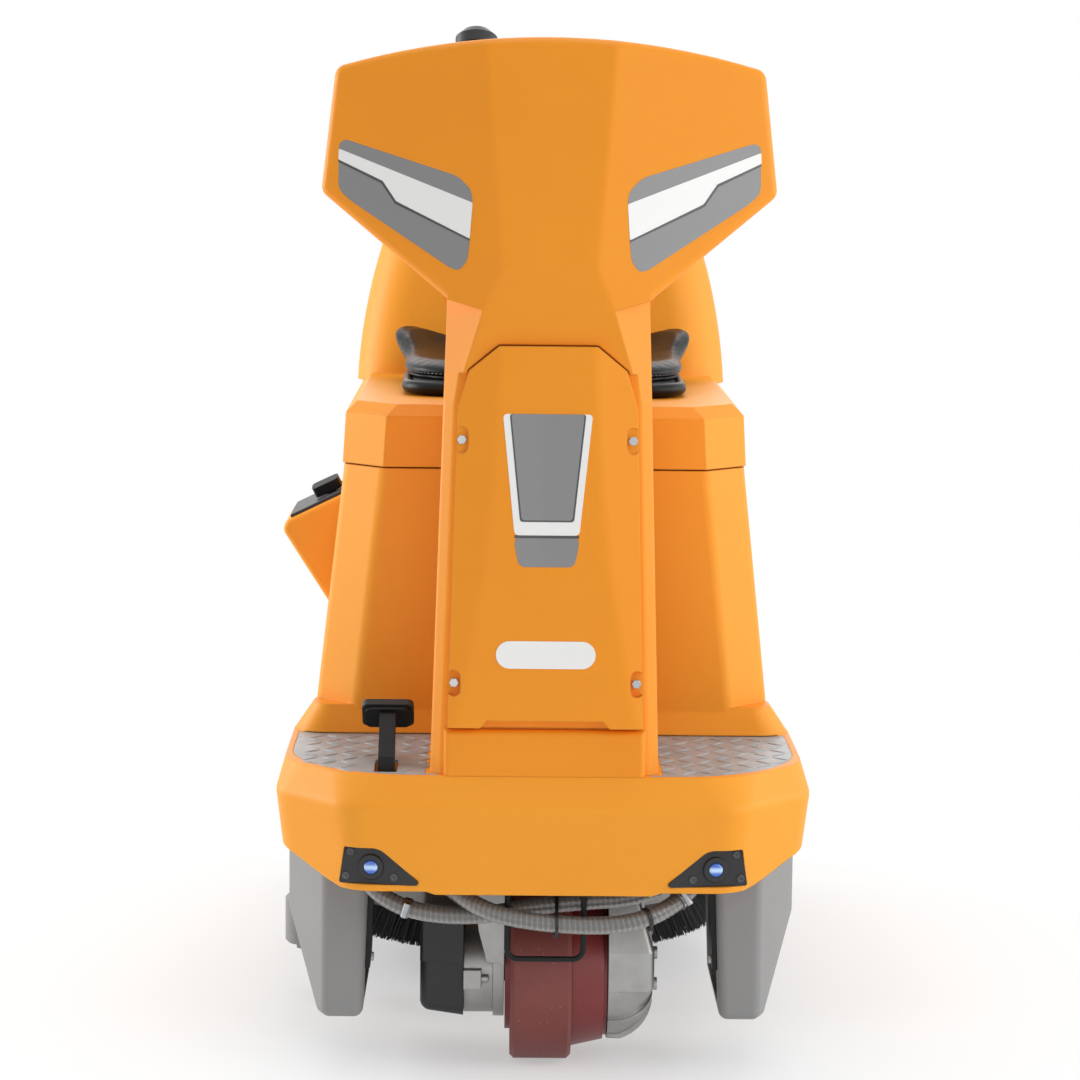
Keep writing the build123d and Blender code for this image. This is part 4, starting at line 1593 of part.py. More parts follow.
# Recovery tank and seat
def tank_back(inset):
    """The tapering tank behind the seat, or its inside when inset by the wall."""
    share = (BACK_MIDDLE_Z - TANK_EDGE_Z) / (BACK_TOP_Z - TANK_EDGE_Z)
    middle_front = BACK_FRONT_Y + (BACK_TOP_FRONT_Y - BACK_FRONT_Y) * share
    middle_rear = BACK_REAR_Y + (BACK_TOP_REAR_Y - BACK_REAR_Y) * share
    corner = BACK_CORNER_R - inset
    plans = []
    for z, half, front, rear in ((TANK_EDGE_Z + 3, BACK_LOW_HALF, BACK_FRONT_Y, BACK_REAR_Y),
                                 (BACK_MIDDLE_Z, BACK_MIDDLE_HALF, middle_front, middle_rear),
                                 (BACK_TOP_Z, BACK_TOP_HALF, BACK_TOP_FRONT_Y, BACK_TOP_REAR_Y)):
        plans.append(at_height(z, rounded_plan(half - inset, front + inset, rear - inset, corner, corner)))
    return loft(plans)


def tank_form():
    """Seat deck with its bevel and the tapering tank behind the seat."""
    rear = BACK_REAR_Y - 8
    low = at_height(TANK_BOTTOM_Z, chamfered_plan(TANK_LOW_HALF, TANK_FRONT_Y, rear, TANK_CHAMFER))
    edge = at_height(TANK_EDGE_Z, chamfered_plan(TANK_LOW_HALF - 4, TANK_FRONT_Y - 3, rear, TANK_CHAMFER))
    top = at_height(SEAT_DECK_Z, chamfered_plan(TANK_TOP_HALF, TANK_FRONT_Y + 13, rear, TANK_CHAMFER))
    deck = loft([low, edge], ruled=True) + loft([edge, top], ruled=True)
    back = tank_back(0)
    back = fillet(back.faces().sort_by(Axis.Z)[-1].edges(), BACK_ROUND)
    return deck + back


def tank_inside():
    """Space for the dirty water behind the seat, inset from the tank's outer walls."""
    space = tank_back(TANK_WALL)
    return space & block(-BACK_LOW_HALF, BACK_LOW_HALF, 0, BACK_REAR_Y, TANK_FLOOR_Z, BACK_TOP_Z - BACK_ROUND)


def tank_spigot(x, z):
    """Tube on the tank's rear face, with its bore through to the inside."""
    root_y = BACK_TOP_REAR_Y - 30
    tube = rod((x, root_y, z), (x, TANK_SPIGOT_END_Y, z), SPIGOT_R)
    tube += rod((x, root_y, z), (x, TANK_SPIGOT_END_Y - SPIGOT_LAND, z), SPIGOT_COLLAR_R)
    bore = rod((x, BACK_TOP_REAR_Y - 3 * TANK_WALL, z), (x, TANK_SPIGOT_END_Y + 1, z), SPIGOT_BORE_R)
    return tube, bore


def recovery_tank():
    tank = tank_form()
    tubes = [tank_spigot(SUCTION_X, SUCTION_Z), tank_spigot(DRAIN_X, DRAIN_Z)]
    for tube, _ in tubes:
        tank += tube
    tank -= tank_inside()
    tank -= block(-OPENING_HALF, OPENING_HALF, OPENING_FRONT_Y, OPENING_REAR_Y, TANK_FLOOR_Z + TANK_WALL, BACK_TOP_Z + 1)
    for _, bore in tubes:
        tank -= bore
    tray_half = TANK_TOP_HALF - TANK_WALL
    for y0, y1, roof in ((TANK_FRONT_Y + 2 * TANK_WALL, BACK_FRONT_Y - TANK_WALL, TANK_EDGE_Z),
                         (BACK_FRONT_Y, WATER_REAR_Y, TANK_BOTTOM_Z + VACUUM_HIGH + 2)):
        tank -= block(-tray_half, tray_half, y0, y1, TANK_BOTTOM_Z - 1, roof)
    tank -= block(-BACK_LOW_HALF - 9, BACK_LOW_HALF + 9, TANK_RELIEF_Y, BACK_REAR_Y + 9, TANK_BOTTOM_Z - 1, TANK_RELIEF_Z)
    for side in (-1, 1):
        x0, x1 = TANK_LUG_X - FIT, TANK_LUG_X + TANK_LUG_THICK + FIT
        hinge = block(x0 - TANK_LUG_THICK, x1 + TANK_LUG_THICK, TANK_PIVOT_Y - LUG_R + 1, TANK_PIVOT_Y + LUG_R - 1,
                      TANK_PIVOT_Z, TANK_RELIEF_Z + 1)
        hinge += rod((x0 - TANK_LUG_THICK, TANK_PIVOT_Y, TANK_PIVOT_Z), (x1 + TANK_LUG_THICK, TANK_PIVOT_Y, TANK_PIVOT_Z),
                     LUG_R - 1)
        slot = block(x0, x1, TANK_PIVOT_Y - 2 * LUG_R, BACK_REAR_Y + 9, TANK_BOTTOM_Z - 1, TANK_PIVOT_Z + LUG_R + 3)
        pin = rod((x0 - 1, TANK_PIVOT_Y, TANK_PIVOT_Z), (x1 + 1, TANK_PIVOT_Y, TANK_PIVOT_Z), PIN_R)
        if side < 0:
            hinge, slot, pin = mirrored(hinge), mirrored(slot), mirrored(pin)
        tank += hinge
        tank -= slot
        tank += pin
    post = block(LID_BARREL_HALF + FIT, LID_BARREL_HALF + LID_POST, LID_HINGE_Y - LID_BARREL_R, LID_HINGE_Y + LID_BARREL_R,
                 BACK_TOP_Z - 1, LID_HINGE_Z)
    post += rod((LID_BARREL_HALF + FIT, LID_HINGE_Y, LID_HINGE_Z), (LID_BARREL_HALF + LID_POST, LID_HINGE_Y, LID_HINGE_Z),
                LID_BARREL_R)
    tank += post + mirrored(post)
    reach = LID_BARREL_HALF + LID_POST
    return tank + rod((-reach, LID_HINGE_Y, LID_HINGE_Z), (reach, LID_HINGE_Y, LID_HINGE_Z), LID_PIN_R)


LID_LOW_Z = BACK_TOP_Z + FIT
LID_HINGE_Z = LID_LOW_Z + LID_THICK / 2
LID_BARREL_R = LID_THICK / 2 - FIT
LID_HINGE_Y = LID_REAR_Y + LID_BARREL_R + 1


def tank_lid():
    """Lid with a plug in the opening and a hinge barrel behind."""
    middle_y = (LID_FRONT_Y + LID_REAR_Y) / 2
    plan = RectangleRounded(2 * LID_HALF, LID_REAR_Y - LID_FRONT_Y, LID_CORNER_R)
    lid = Pos(0, middle_y, LID_LOW_Z) * extrude(plan, amount=LID_THICK)
    lid = fillet(lid.faces().sort_by(Axis.Z)[-1].edges(), LID_THICK / 4)
    lid += block(-OPENING_HALF + 2, OPENING_HALF - 2, OPENING_FRONT_Y + 2, OPENING_REAR_Y - 2, LID_LOW_Z - LID_PLUG,
                 LID_LOW_Z + 1)
    lid += block(-LID_BARREL_HALF, LID_BARREL_HALF, LID_REAR_Y - 1, LID_HINGE_Y, LID_HINGE_Z - LID_BARREL_R,
                 LID_HINGE_Z + LID_BARREL_R)
    lid += rod((-LID_BARREL_HALF, LID_HINGE_Y, LID_HINGE_Z), (LID_BARREL_HALF, LID_HINGE_Y, LID_HINGE_Z), LID_BARREL_R)
    return lid - rod((-LID_HALF, LID_HINGE_Y, LID_HINGE_Z), (LID_HALF, LID_HINGE_Y, LID_HINGE_Z), LID_PIN_R + RUNNING)


def vacuum_motor():
    """Suction motor hung in the tank's underside: can, fan housing and flange."""
    top = TANK_BOTTOM_Z + VACUUM_HIGH + 2
    return turned_z([(0, top), (VACUUM_R, top), (VACUUM_R, top - 20), (VACUUM_R - 6, top - 23), (VACUUM_R - 22, top - 26),
                     (VACUUM_R - 22, top - VACUUM_HIGH), (0, top - VACUUM_HIGH)], 0, VACUUM_Y)


def seat_plan(draw, corner):
    return RectangleRounded(2 * (SEAT_HALF - draw), SEAT_REAR_Y - SEAT_FRONT_Y - 2 * draw, corner)


SEAT_MIDDLE_Y = (SEAT_FRONT_Y + SEAT_REAR_Y) / 2
SEAT_LOW_Z = SEAT_DECK_Z + SEAT_BASE_HIGH


def seat_base():
    base = Pos(0, SEAT_MIDDLE_Y, SEAT_DECK_Z) * extrude(seat_plan(SEAT_SWELL, SEAT_CORNER_R), amount=SEAT_BASE_HIGH)
    return fillet(base.faces().sort_by(Axis.Z)[0].edges(), 5)


def seat_cushion():
    """Padded cushion: sides drawn in above and below, a crowned top and a horn at each side."""
    steps = ((0, SEAT_SWELL - 3), (0.4, 0), (0.8, 2), (1.3, SEAT_SWELL + 3))
    plans = [Pos(0, SEAT_MIDDLE_Y, SEAT_LOW_Z + share * SEAT_CUSHION_HIGH) * seat_plan(draw, SEAT_CORNER_R - draw)
             for share, draw in steps]
    pad = loft(plans)
    pad &= Pos(0, SEAT_MIDDLE_Y, SEAT_LOW_Z + SEAT_CUSHION_HIGH - SEAT_CROWN_R) * Sphere(SEAT_CROWN_R)
    horn = seat_horn()
    return pad + horn + mirrored(horn)


def seat_horn():
    """Raised side of the seat: higher outside than inside, rising from the front."""
    low, top = SEAT_LOW_Z + 4, SEAT_LOW_Z + HORN_HIGH
    outer = SEAT_HALF + HORN_OUT
    start_y = HORN_END_Y - HORN_LONG
    horn = prism_y([(SEAT_HALF - HORN_IN, low), (SEAT_HALF - HORN_IN, low + 8), (SEAT_HALF - 6, top), (outer - 9, top),
                    (outer, top - 20), (SEAT_HALF + 2, low)], start_y, HORN_END_Y)
    horn = trimmed(horn, (0, start_y, low + 9), (9, start_y, low + 9), (0, start_y + HORN_RISE, top + 1),
                   (SEAT_HALF, HORN_END_Y, low))
    return fillet([e for e in horn.edges() if e.center().Z > low + 12], HORN_ROUND)


# Batteries and controls
def batteries():
    """Four block batteries with their terminals."""
    blocks = []
    middle_y = (BAY_FRONT_Y + BAY_REAR_Y) / 2
    for side in (-1, 1):
        for row in (-1, 1):
            x = side * (BATTERY_WIDE + BATTERY_GAP) / 2
            y = middle_y + row * (BATTERY_LONG + BATTERY_GAP) / 2
            case = Pos(x, y, BAY_FLOOR_Z + BATTERY_HIGH / 2) * Box(BATTERY_WIDE, BATTERY_LONG, BATTERY_HIGH)
            case = fillet(case.edges().filter_by(Axis.Z), 6)
            for end in (-1, 1):
                place_y = y + end * (BATTERY_LONG / 2 - 2.5 * TERMINAL_R)
                case += rod((x, place_y, BAY_FLOOR_Z + BATTERY_HIGH - 1),
                            (x, place_y, BAY_FLOOR_Z + BATTERY_HIGH + TERMINAL_HIGH), TERMINAL_R)
            blocks.append(case)
    return Compound(children=blocks)


def control_panel():
    """Panel on the dash slope with a raised display, and holes for the key and the emergency stop."""
    middle = dash_plane(0, (PANEL_START + PANEL_END) / 2)
    panel = extrude(middle * RectangleRounded(2 * PANEL_HALF, PANEL_END - PANEL_START, 12), amount=PANEL_THICK)
    display = dash_plane(0, DISPLAY_S).offset(PANEL_THICK)
    panel += extrude(display * RectangleRounded(2 * DISPLAY_HALF, 1.2 * DISPLAY_HALF, 5), amount=3)
    panel -= extrude(dash_plane(STOP_X, STOP_S) * Circle(STOP_STEM_R + FIT), amount=PANEL_THICK + 1)
    return panel - extrude(dash_plane(KEY_X, STOP_S) * Circle(KEY_STEM_R + FIT), amount=PANEL_THICK + 1)


def emergency_stop():
    """Mushroom button that is pushed in along its stem."""
    low = PANEL_THICK + STOP_TRAVEL + 2 * FIT
    profile = [(0, -CONTROL_WELL + STOP_TRAVEL + 2), (STOP_STEM_R, -CONTROL_WELL + STOP_TRAVEL + 2), (STOP_STEM_R, low),
               (STOP_R, low), (STOP_R, low + STOP_HIGH - 6), (STOP_R - 6, low + STOP_HIGH), (0, low + STOP_HIGH)]
    return dash_plane(STOP_X, STOP_S) * turned_z(profile, 0, 0)


def key_switch():
    """Key barrel with the key's bow."""
    low = PANEL_THICK + FIT
    profile = [(0, -CONTROL_WELL + 2), (KEY_STEM_R, -CONTROL_WELL + 2), (KEY_STEM_R, low), (KEY_R, low),
               (KEY_R, low + KEY_HIGH - 2), (KEY_R - 2, low + KEY_HIGH), (0, low + KEY_HIGH)]
    key = turned_z(profile, 0, 0)
    bow = Pos(0, 0, low + KEY_HIGH + KEY_BOW / 2 - 1) * Box(KEY_BOW, 3, KEY_BOW)
    key += fillet(bow.edges().filter_by(Axis.Y), KEY_BOW / 4)
    return dash_plane(KEY_X, STOP_S) * key


PIECES = {
    "chassis_frame": chassis_frame,
    "main_body": main_body,
    "footplate_left": lambda: footplate(1),
    "footplate_right": lambda: footplate(-1),
    "console": console,
    "service_cover": service_cover,
    "body_bolts": body_bolts,
    "column_foot": column_foot,
    "lamp_plate_left": lambda: lamp_plate(1),
    "lamp_plate_right": lambda: lamp_plate(-1),
    "lamp_lenses": lamp_lenses,
    "lamp_screws": lamp_screws,
    "guard_left": lambda: guard(1),
    "guard_right": lambda: guard(-1),
    "tow_loop": tow_loop,
    "hose_supply": lambda: hose(SUPPLY_POINTS),
    "hose_return": lambda: hose(RETURN_POINTS),
    "hose_ties": hose_ties,
    "hose_clamps": hose_clamps,
    "control_panel": control_panel,
    "batteries": batteries,
    "rear_axle": rear_axle,
    "pedal_bracket": pedal_bracket,
    "lever_gate": lever_gate,
    "steering_bearing": steering_bearing,
    "drive_fork": drive_fork,
    "drive_motor": drive_motor,
    "motor_cover": motor_cover,
    "gear_housing": gear_housing,
    "steering_gear": steering_gear,
    "drive_tyre": drive_tyre,
    "drive_hub": drive_hub,
    "steering_wheel": steering_wheel,
    "steering_shaft": steering_shaft,
    "spinner_knob": spinner_knob,
    "steering_pinion": steering_pinion,
    "accelerator_pedal": accelerator_pedal,
    "pedal_pad": pedal_pad,
    "lift_arms": lift_arms,
    "upper_link": upper_link,
    "brush_deck": brush_deck,
    "brush_motor": brush_motor,
    "deck_roller": deck_roller,
    "brush_plate": brush_plate,
    "brush_bristles": brush_bristles,
    "squeegee_arm": squeegee_arm,
    "squeegee_beam": squeegee_beam,
    "squeegee_blade_front": lambda: squeegee_blade(-SQUEEGEE_HALF_DEEP - BLADE_THICK),
    "squeegee_blade_rear": lambda: squeegee_blade(SQUEEGEE_HALF_DEEP),
    "squeegee_knobs": squeegee_knobs,
    "rear_wheel_left": lambda: rear_wheel(1),
    "rear_wheel_right": lambda: rear_wheel(-1),
    "recovery_tank": recovery_tank,
    "tank_lid": tank_lid,
    "vacuum_motor": vacuum_motor,
    "seat_cushion": seat_cushion,
    "seat_base": seat_base,
    "squeegee_lever": squeegee_lever,
    "key_switch": key_switch,
    "emergency_stop": emergency_stop,
}

os.makedirs("parts", exist_ok=True)
for name, make in PIECES.items():
    export_step(make(), "parts/" + name + ".step")
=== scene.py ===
"""Looks of a ride-on floor scrubber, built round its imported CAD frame.

Lengths are in millimetres until a mesh, a lamp or a shader is made, and those are in metres.
"""
import math

import bpy
import numpy as np
from mathutils import Matrix, Vector
from mathutils.bvhtree import BVHTree


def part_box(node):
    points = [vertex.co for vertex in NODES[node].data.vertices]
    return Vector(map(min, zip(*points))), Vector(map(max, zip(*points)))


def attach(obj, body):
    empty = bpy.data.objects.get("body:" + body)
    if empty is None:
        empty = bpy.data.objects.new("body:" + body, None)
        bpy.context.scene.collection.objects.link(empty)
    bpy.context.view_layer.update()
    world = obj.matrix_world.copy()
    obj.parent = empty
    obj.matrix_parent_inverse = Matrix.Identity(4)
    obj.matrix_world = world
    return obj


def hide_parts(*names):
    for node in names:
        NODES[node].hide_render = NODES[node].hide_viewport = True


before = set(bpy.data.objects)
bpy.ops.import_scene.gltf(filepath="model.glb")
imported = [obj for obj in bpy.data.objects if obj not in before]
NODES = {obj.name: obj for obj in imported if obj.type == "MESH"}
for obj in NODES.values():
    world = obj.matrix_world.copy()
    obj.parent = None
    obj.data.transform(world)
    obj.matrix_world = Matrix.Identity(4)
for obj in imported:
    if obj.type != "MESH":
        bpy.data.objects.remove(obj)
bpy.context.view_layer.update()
MM = 0.001
UP = (0, 0, 1)

# Camera at the photograph's viewing angle, its angles in degrees
CAMERA_AT = (-55, -4523, 1184)
FOCAL_PIXELS, FRAME_PIXELS, SENSOR = 3260, 1080, 36.0
PITCH, YAW, ROLL = 7.3, 0.69, 0.63


def aim_camera():
    """A long lens in front: forward from yaw and pitch, then right and up rolled about it."""
    yaw, pitch, roll = np.radians([YAW, PITCH, ROLL])
    ahead = np.array([np.sin(yaw) * np.cos(pitch), np.cos(yaw) * np.cos(pitch), -np.sin(pitch)])
    level = unit(np.cross(ahead, UP))
    upright = np.cross(level, ahead)
    right = level * np.cos(roll) + upright * np.sin(roll)
    up = upright * np.cos(roll) - level * np.sin(roll)
    lens = bpy.data.cameras.new("view")
    lens.sensor_width = SENSOR
    lens.lens = FOCAL_PIXELS / FRAME_PIXELS * SENSOR
    camera = bpy.data.objects.new("view", lens)
    turned = Matrix(np.c_[right, up, -ahead]).to_4x4()
    camera.matrix_world = Matrix.Translation(Vector(CAMERA_AT) * MM) @ turned
    bpy.context.scene.collection.objects.link(camera)
    bpy.context.scene.camera = camera


# Shader building
def linear(code):
    """An sRGB hex colour as linear red, green, blue and alpha, by the sRGB transfer curve."""
    c = np.array([int(code[k:k + 2], 16) for k in (1, 3, 5)]) / 255
    return (*np.where(c <= 0.04045, c / 12.92, ((c + 0.055) / 1.055) ** 2.4).tolist(), 1.0)


def per(size):
    """Texture scale on Object coordinates for a pattern of that size in mm."""
    return 1 / (size * MM)


def join(tree, node, links):
    """Links into one node, each given as socket: (source node, its output)."""
    for key, (source, out) in links.items():
        tree.links.new(source.outputs[out], node.inputs[key])


def add(tree, kind, values=None, links=None, **settings):
    """One shader node with its settings, its socket values and its links."""
    made = tree.nodes.new("ShaderNode" + kind)
    for key, value in settings.items():
        setattr(made, key, value)
    for key, value in (values or {}).items():
        made.inputs[key].default_value = value
    join(tree, made, links or {})
    return made


def blank(name, **sockets):
    """A new material with one principled shader: its tree, the shader and its coordinates."""
    material = bpy.data.materials.new(name)
    material.use_nodes = True
    tree = material.node_tree
    shader = tree.nodes["Principled BSDF"]
    for key, value in sockets.items():
        shader.inputs[key.replace("_", " ")].default_value = value
    return material, tree, shader, add(tree, "TexCoord")


def edge_share(tree, radius, low, high):
    """How far a rounded normal at an edge leaves the true one: 0 on flats, 1 on corners."""
    soft = add(tree, "Bevel", {"Radius": radius * MM}, samples=4)
    flat = add(tree, "NewGeometry")
    turn = add(tree, "VectorMath", links={0: (soft, "Normal"), 1: (flat, "Normal")},
               operation="DOT_PRODUCT")
    return soft, add(tree, "MapRange", {"From Min": 1 - low, "From Max": 1 - high},
                     {"Value": (turn, "Value")})


def moulded_plastic(name, colour, shade, worn, grain, depth, rough, round_mm=3.0, sheen=0.5):
    """Moulded thermoplastic: a cloudy colour, the mould's fine grain as bump, paler rubbed edges.

    The grain is about 1 mm on the real skin and is drawn coarser, so that it shows in the render.
    """
    material, tree, shader, place = blank(name, IOR=1.49, Specular_IOR_Level=sheen)
    cloud = add(tree, "TexNoise", {"Scale": per(140), "Detail": 3.0},
                {"Vector": (place, "Object")})
    mix = add(tree, "Mix", {"A": linear(colour), "B": linear(shade)},
              {"Factor": (cloud, "Fac")}, data_type="RGBA")
    soft, edge = edge_share(tree, round_mm, low=0.02, high=0.25)
    rub = add(tree, "TexNoise", {"Scale": per(9), "Detail": 4.0}, {"Vector": (place, "Object")})
    wear = add(tree, "Math", links={0: (edge, "Result"), 1: (rub, "Fac")}, operation="MULTIPLY")
    tint = add(tree, "Mix", {"B": linear(worn)},
               {"Factor": (wear, "Value"), "A": (mix, "Result")}, data_type="RGBA")
    peel = add(tree, "TexNoise", {"Scale": per(grain), "Detail": 2.0},
               {"Vector": (place, "Object")})
    bump = add(tree, "Bump", {"Strength": 0.35, "Distance": depth * MM},
               {"Height": (peel, "Fac"), "Normal": (soft, "Normal")})
    gloss = add(tree, "MapRange", {"To Min": rough - 0.06, "To Max": rough + 0.08},
                {"Value": (rub, "Fac")})
    join(tree, shader, {"Base Color": (tint, "Result"), "Normal": (bump, "Normal"),
                        "Roughness": (gloss, "Result")})
    return material


def metal(name, colour, shade, rough, grain, depth, stretch=(1, 1, 1), bare=1.0, sheen=0.5):
    """Metal: mottled tone, a grain that may be drawn out along one axis, brighter rubbed edges.

    Paint and powder coat are the same skin with a bare share of 0, and a dusty metal lies between.
    The grain is well under 1 mm on most real skins and is drawn coarser, so that it shows.
    """
    material, tree, shader, place = blank(name, Metallic=bare, Specular_IOR_Level=sheen)
    turn = add(tree, "Mapping", {"Scale": stretch}, {"Vector": (place, "Object")})
    mottle = add(tree, "TexNoise", {"Scale": per(26), "Detail": 5.0},
                 {"Vector": (turn, "Vector")})
    mix = add(tree, "Mix", {"A": linear(colour), "B": linear(shade)},
              {"Factor": (mottle, "Fac")}, data_type="RGBA")
    fine = add(tree, "TexNoise", {"Scale": per(grain), "Detail": 3.0},
               {"Vector": (turn, "Vector")})
    soft, edge = edge_share(tree, radius=1.5, low=0.03, high=0.3)
    bump = add(tree, "Bump", {"Strength": 0.3, "Distance": depth * MM},
               {"Height": (fine, "Fac"), "Normal": (soft, "Normal")})
    shine = add(tree, "MapRange", {"To Min": rough - 0.1, "To Max": rough + 0.12},
                {"Value": (fine, "Fac")})
    rubbed = add(tree, "Math", {1: 0.35}, {0: (edge, "Result")}, operation="MULTIPLY")
    worn = "#c9c9c9" if bare else "#5a5a5a"
    tint = add(tree, "Mix", {"B": linear(worn)},
               {"Factor": (rubbed, "Value"), "A": (mix, "Result")}, data_type="RGBA")
    join(tree, shader, {"Base Color": (tint, "Result"), "Normal": (bump, "Normal"),
                        "Roughness": (shine, "Result")})
    return material


def cast_tread(name, colour, shade, dust):
    """Cast tyre tread: a dull skin with pale dust specks and fine scuffs round the rolling face."""
    material, tree, shader, place = blank(name, IOR=1.5)
    cloud = add(tree, "TexNoise", {"Scale": per(45), "Detail": 4.0},
                {"Vector": (place, "Object")})
    mix = add(tree, "Mix", {"A": linear(colour), "B": linear(shade)},
              {"Factor": (cloud, "Fac")}, data_type="RGBA")
    speck = add(tree, "TexVoronoi", {"Scale": per(11)}, {"Vector": (place, "Object")})
    dot = add(tree, "MapRange", {"From Min": 0.075, "From Max": 0.04},
              {"Value": (speck, "Distance")})
    light = add(tree, "Math", {1: 0.55}, {0: (dot, "Result")}, operation="MULTIPLY")
    tint = add(tree, "Mix", {"B": linear(dust)},
               {"Factor": (light, "Value"), "A": (mix, "Result")}, data_type="RGBA")
    turn = add(tree, "Mapping", {"Scale": (1, 0.12, 0.12)}, {"Vector": (place, "Object")})
    scuff = add(tree, "TexNoise", {"Scale": per(3), "Detail": 4.0}, {"Vector": (turn, "Vector")})
    soft, _ = edge_share(tree, radius=2.5, low=0.02, high=0.2)
    bump = add(tree, "Bump", {"Strength": 0.25, "Distance": 0.4 * MM},
               {"Height": (scuff, "Fac"), "Normal": (soft, "Normal")})
    dull = add(tree, "MapRange", {"To Min": 0.42, "To Max": 0.62}, {"Value": (scuff, "Fac")})
    join(tree, shader, {"Base Color": (tint, "Result"), "Normal": (bump, "Normal"),
                        "Roughness": (dull, "Result")})
    return material


def seat_vinyl():
    """Calendered vinyl over foam: leather-like cells about 2 mm wide, with a soft sheen."""
    material, tree, shader, place = blank("black seat vinyl", IOR=1.5, Specular_IOR_Level=0.22)
    cell = add(tree, "TexVoronoi", {"Scale": per(2.4)}, {"Vector": (place, "Object")},
               feature="DISTANCE_TO_EDGE")
    crease = add(tree, "MapRange", {"From Max": 0.16}, {"Value": (cell, "Distance")})
    cloud = add(tree, "TexNoise", {"Scale": per(60), "Detail": 3.0},
                {"Vector": (place, "Object")})
    mix = add(tree, "Mix", {"A": linear("#08090b"), "B": linear("#101114")},
              {"Factor": (cloud, "Fac")}, data_type="RGBA")
    bump = add(tree, "Bump", {"Strength": 0.25, "Distance": 0.35 * MM},
               {"Height": (crease, "Result")})
    dull = add(tree, "MapRange", {"To Min": 0.28, "To Max": 0.4}, {"Value": (cloud, "Fac")})
    join(tree, shader, {"Base Color": (mix, "Result"), "Normal": (bump, "Normal"),
                        "Roughness": (dull, "Result")})
    return material


def hose_pvc():
    """Soft PVC hose: a paler reinforcing spiral under a clear grey skin.

    The map's u runs along the hose in turns of the spiral, and v once round it.
    """
    material, tree, shader, _ = blank("grey spiral PVC", IOR=1.53, Transmission_Weight=0.12,
                                      Coat_Weight=0.4)
    wrap = add(tree, "UVMap", uv_map="wrap")
    part = add(tree, "SeparateXYZ", links={"Vector": (wrap, "UV")})
    phase = add(tree, "Math", links={0: (part, "X"), 1: (part, "Y")}, operation="ADD")
    turn = add(tree, "Math", links={0: (phase, "Value")}, operation="FRACT")
    far = add(tree, "Math", {1: 0.5}, {0: (turn, "Value")}, operation="SUBTRACT")
    off = add(tree, "Math", links={0: (far, "Value")}, operation="ABSOLUTE")
    band = add(tree, "MapRange", {"From Min": 0.16, "From Max": 0.05}, {"Value": (off, "Value")})
    mix = add(tree, "Mix", {"A": linear("#6b6a68"), "B": linear("#8f8d89")},
              {"Factor": (band, "Result")}, data_type="RGBA")
    bump = add(tree, "Bump", {"Strength": 0.3, "Distance": 0.5 * MM},
               {"Height": (band, "Result")})
    dull = add(tree, "MapRange", {"To Min": 0.34, "To Max": 0.24}, {"Value": (band, "Result")})
    join(tree, shader, {"Base Color": (mix, "Result"), "Normal": (bump, "Normal"),
                        "Roughness": (dull, "Result")})
    return material


def lens_with_painted_highlight():
    """Blue moulded lens: a painted highlight as a pale level band across its middle, deeper blue
    beyond.
    """
    material, tree, shader, place = blank("blue lamp lens", IOR=1.55, Roughness=0.06,
                                          Coat_Weight=1.0, Emission_Strength=0.1)
    spot = add(tree, "SeparateXYZ", links={"Vector": (place, "Object")})
    low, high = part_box("lamp_lenses")
    off = add(tree, "Math", {1: (low[2] + high[2]) / 2}, {0: (spot, "Z")}, operation="SUBTRACT")
    far = add(tree, "Math", links={0: (off, "Value")}, operation="ABSOLUTE")
    # Painted highlight: the lens turns pale within a few mm of its middle height
    band = add(tree, "MapRange", {"From Min": 4.5 * MM, "From Max": 0.8 * MM},
               {"Value": (far, "Value")})
    mix = add(tree, "Mix", {"A": linear("#1c5fc6"), "B": linear("#b9d9ff")},
              {"Factor": (band, "Result")}, data_type="RGBA")
    # The lens glows faintly in these colours, so the painted highlight glows most
    join(tree, shader, {"Base Color": (mix, "Result"), "Emission Color": (mix, "Result")})
    return material


def printed_film(name, colour, shade, rough=0.3):
    """Printed vinyl film: an even ink with a faint mottle under a clear gloss."""
    material, tree, shader, place = blank(name, IOR=1.5, Coat_Weight=0.2, Roughness=rough)
    speck = add(tree, "TexNoise", {"Scale": per(1.6), "Detail": 2.0},
                {"Vector": (place, "Object")})
    mix = add(tree, "Mix", {"A": linear(colour), "B": linear(shade)},
              {"Factor": (speck, "Fac")}, data_type="RGBA")
    join(tree, shader, {"Base Color": (mix, "Result")})
    return material


# Mouldings: the oranges are half matt with a soft peel, the greys and blacks duller and finer,
# the rubber nearly matt, and the stop button smooth and glossy
ORANGE = moulded_plastic("orange moulded ABS", "#f59a20", "#f09218", "#ffb84d",
                         grain=3.2, depth=0.2, rough=0.48, sheen=0.34)
# A lighter copy of the console's orange for the body and the tank: painted light that brightens
# their fronts, as the real parts are the same orange
BODY_ORANGE_PAINTED_LIGHTER = moulded_plastic("orange rotomoulded polyethylene lightened as painted light", "#f8a42c", "#f49d24", "#ffbc55",
                              grain=3.2, depth=0.2, rough=0.48, sheen=0.34)
GREY = moulded_plastic("grey moulded polyurethane", "#929292", "#8a8a8a", "#a6a6a6",
                       grain=2.6, depth=0.2, rough=0.5)
BLACK = moulded_plastic("black grained ABS", "#1b1b1d", "#232326", "#3a3a3d",
                        grain=1.8, depth=0.2, rough=0.46, round_mm=1.5)
RUBBER = moulded_plastic("black moulded rubber", "#161617", "#1e1e20", "#2b2b2d",
                         grain=1.6, depth=0.25, rough=0.6, round_mm=1.0)
RED = moulded_plastic("red gloss ABS", "#b3131a", "#a50f16", "#d04a4a",
                      grain=1.4, depth=0.05, rough=0.25, round_mm=1.0)
NYLON = moulded_plastic("black nylon filament", "#151516", "#202022", "#2c2c2e",
                        grain=1.2, depth=0.05, rough=0.5, round_mm=0.2)

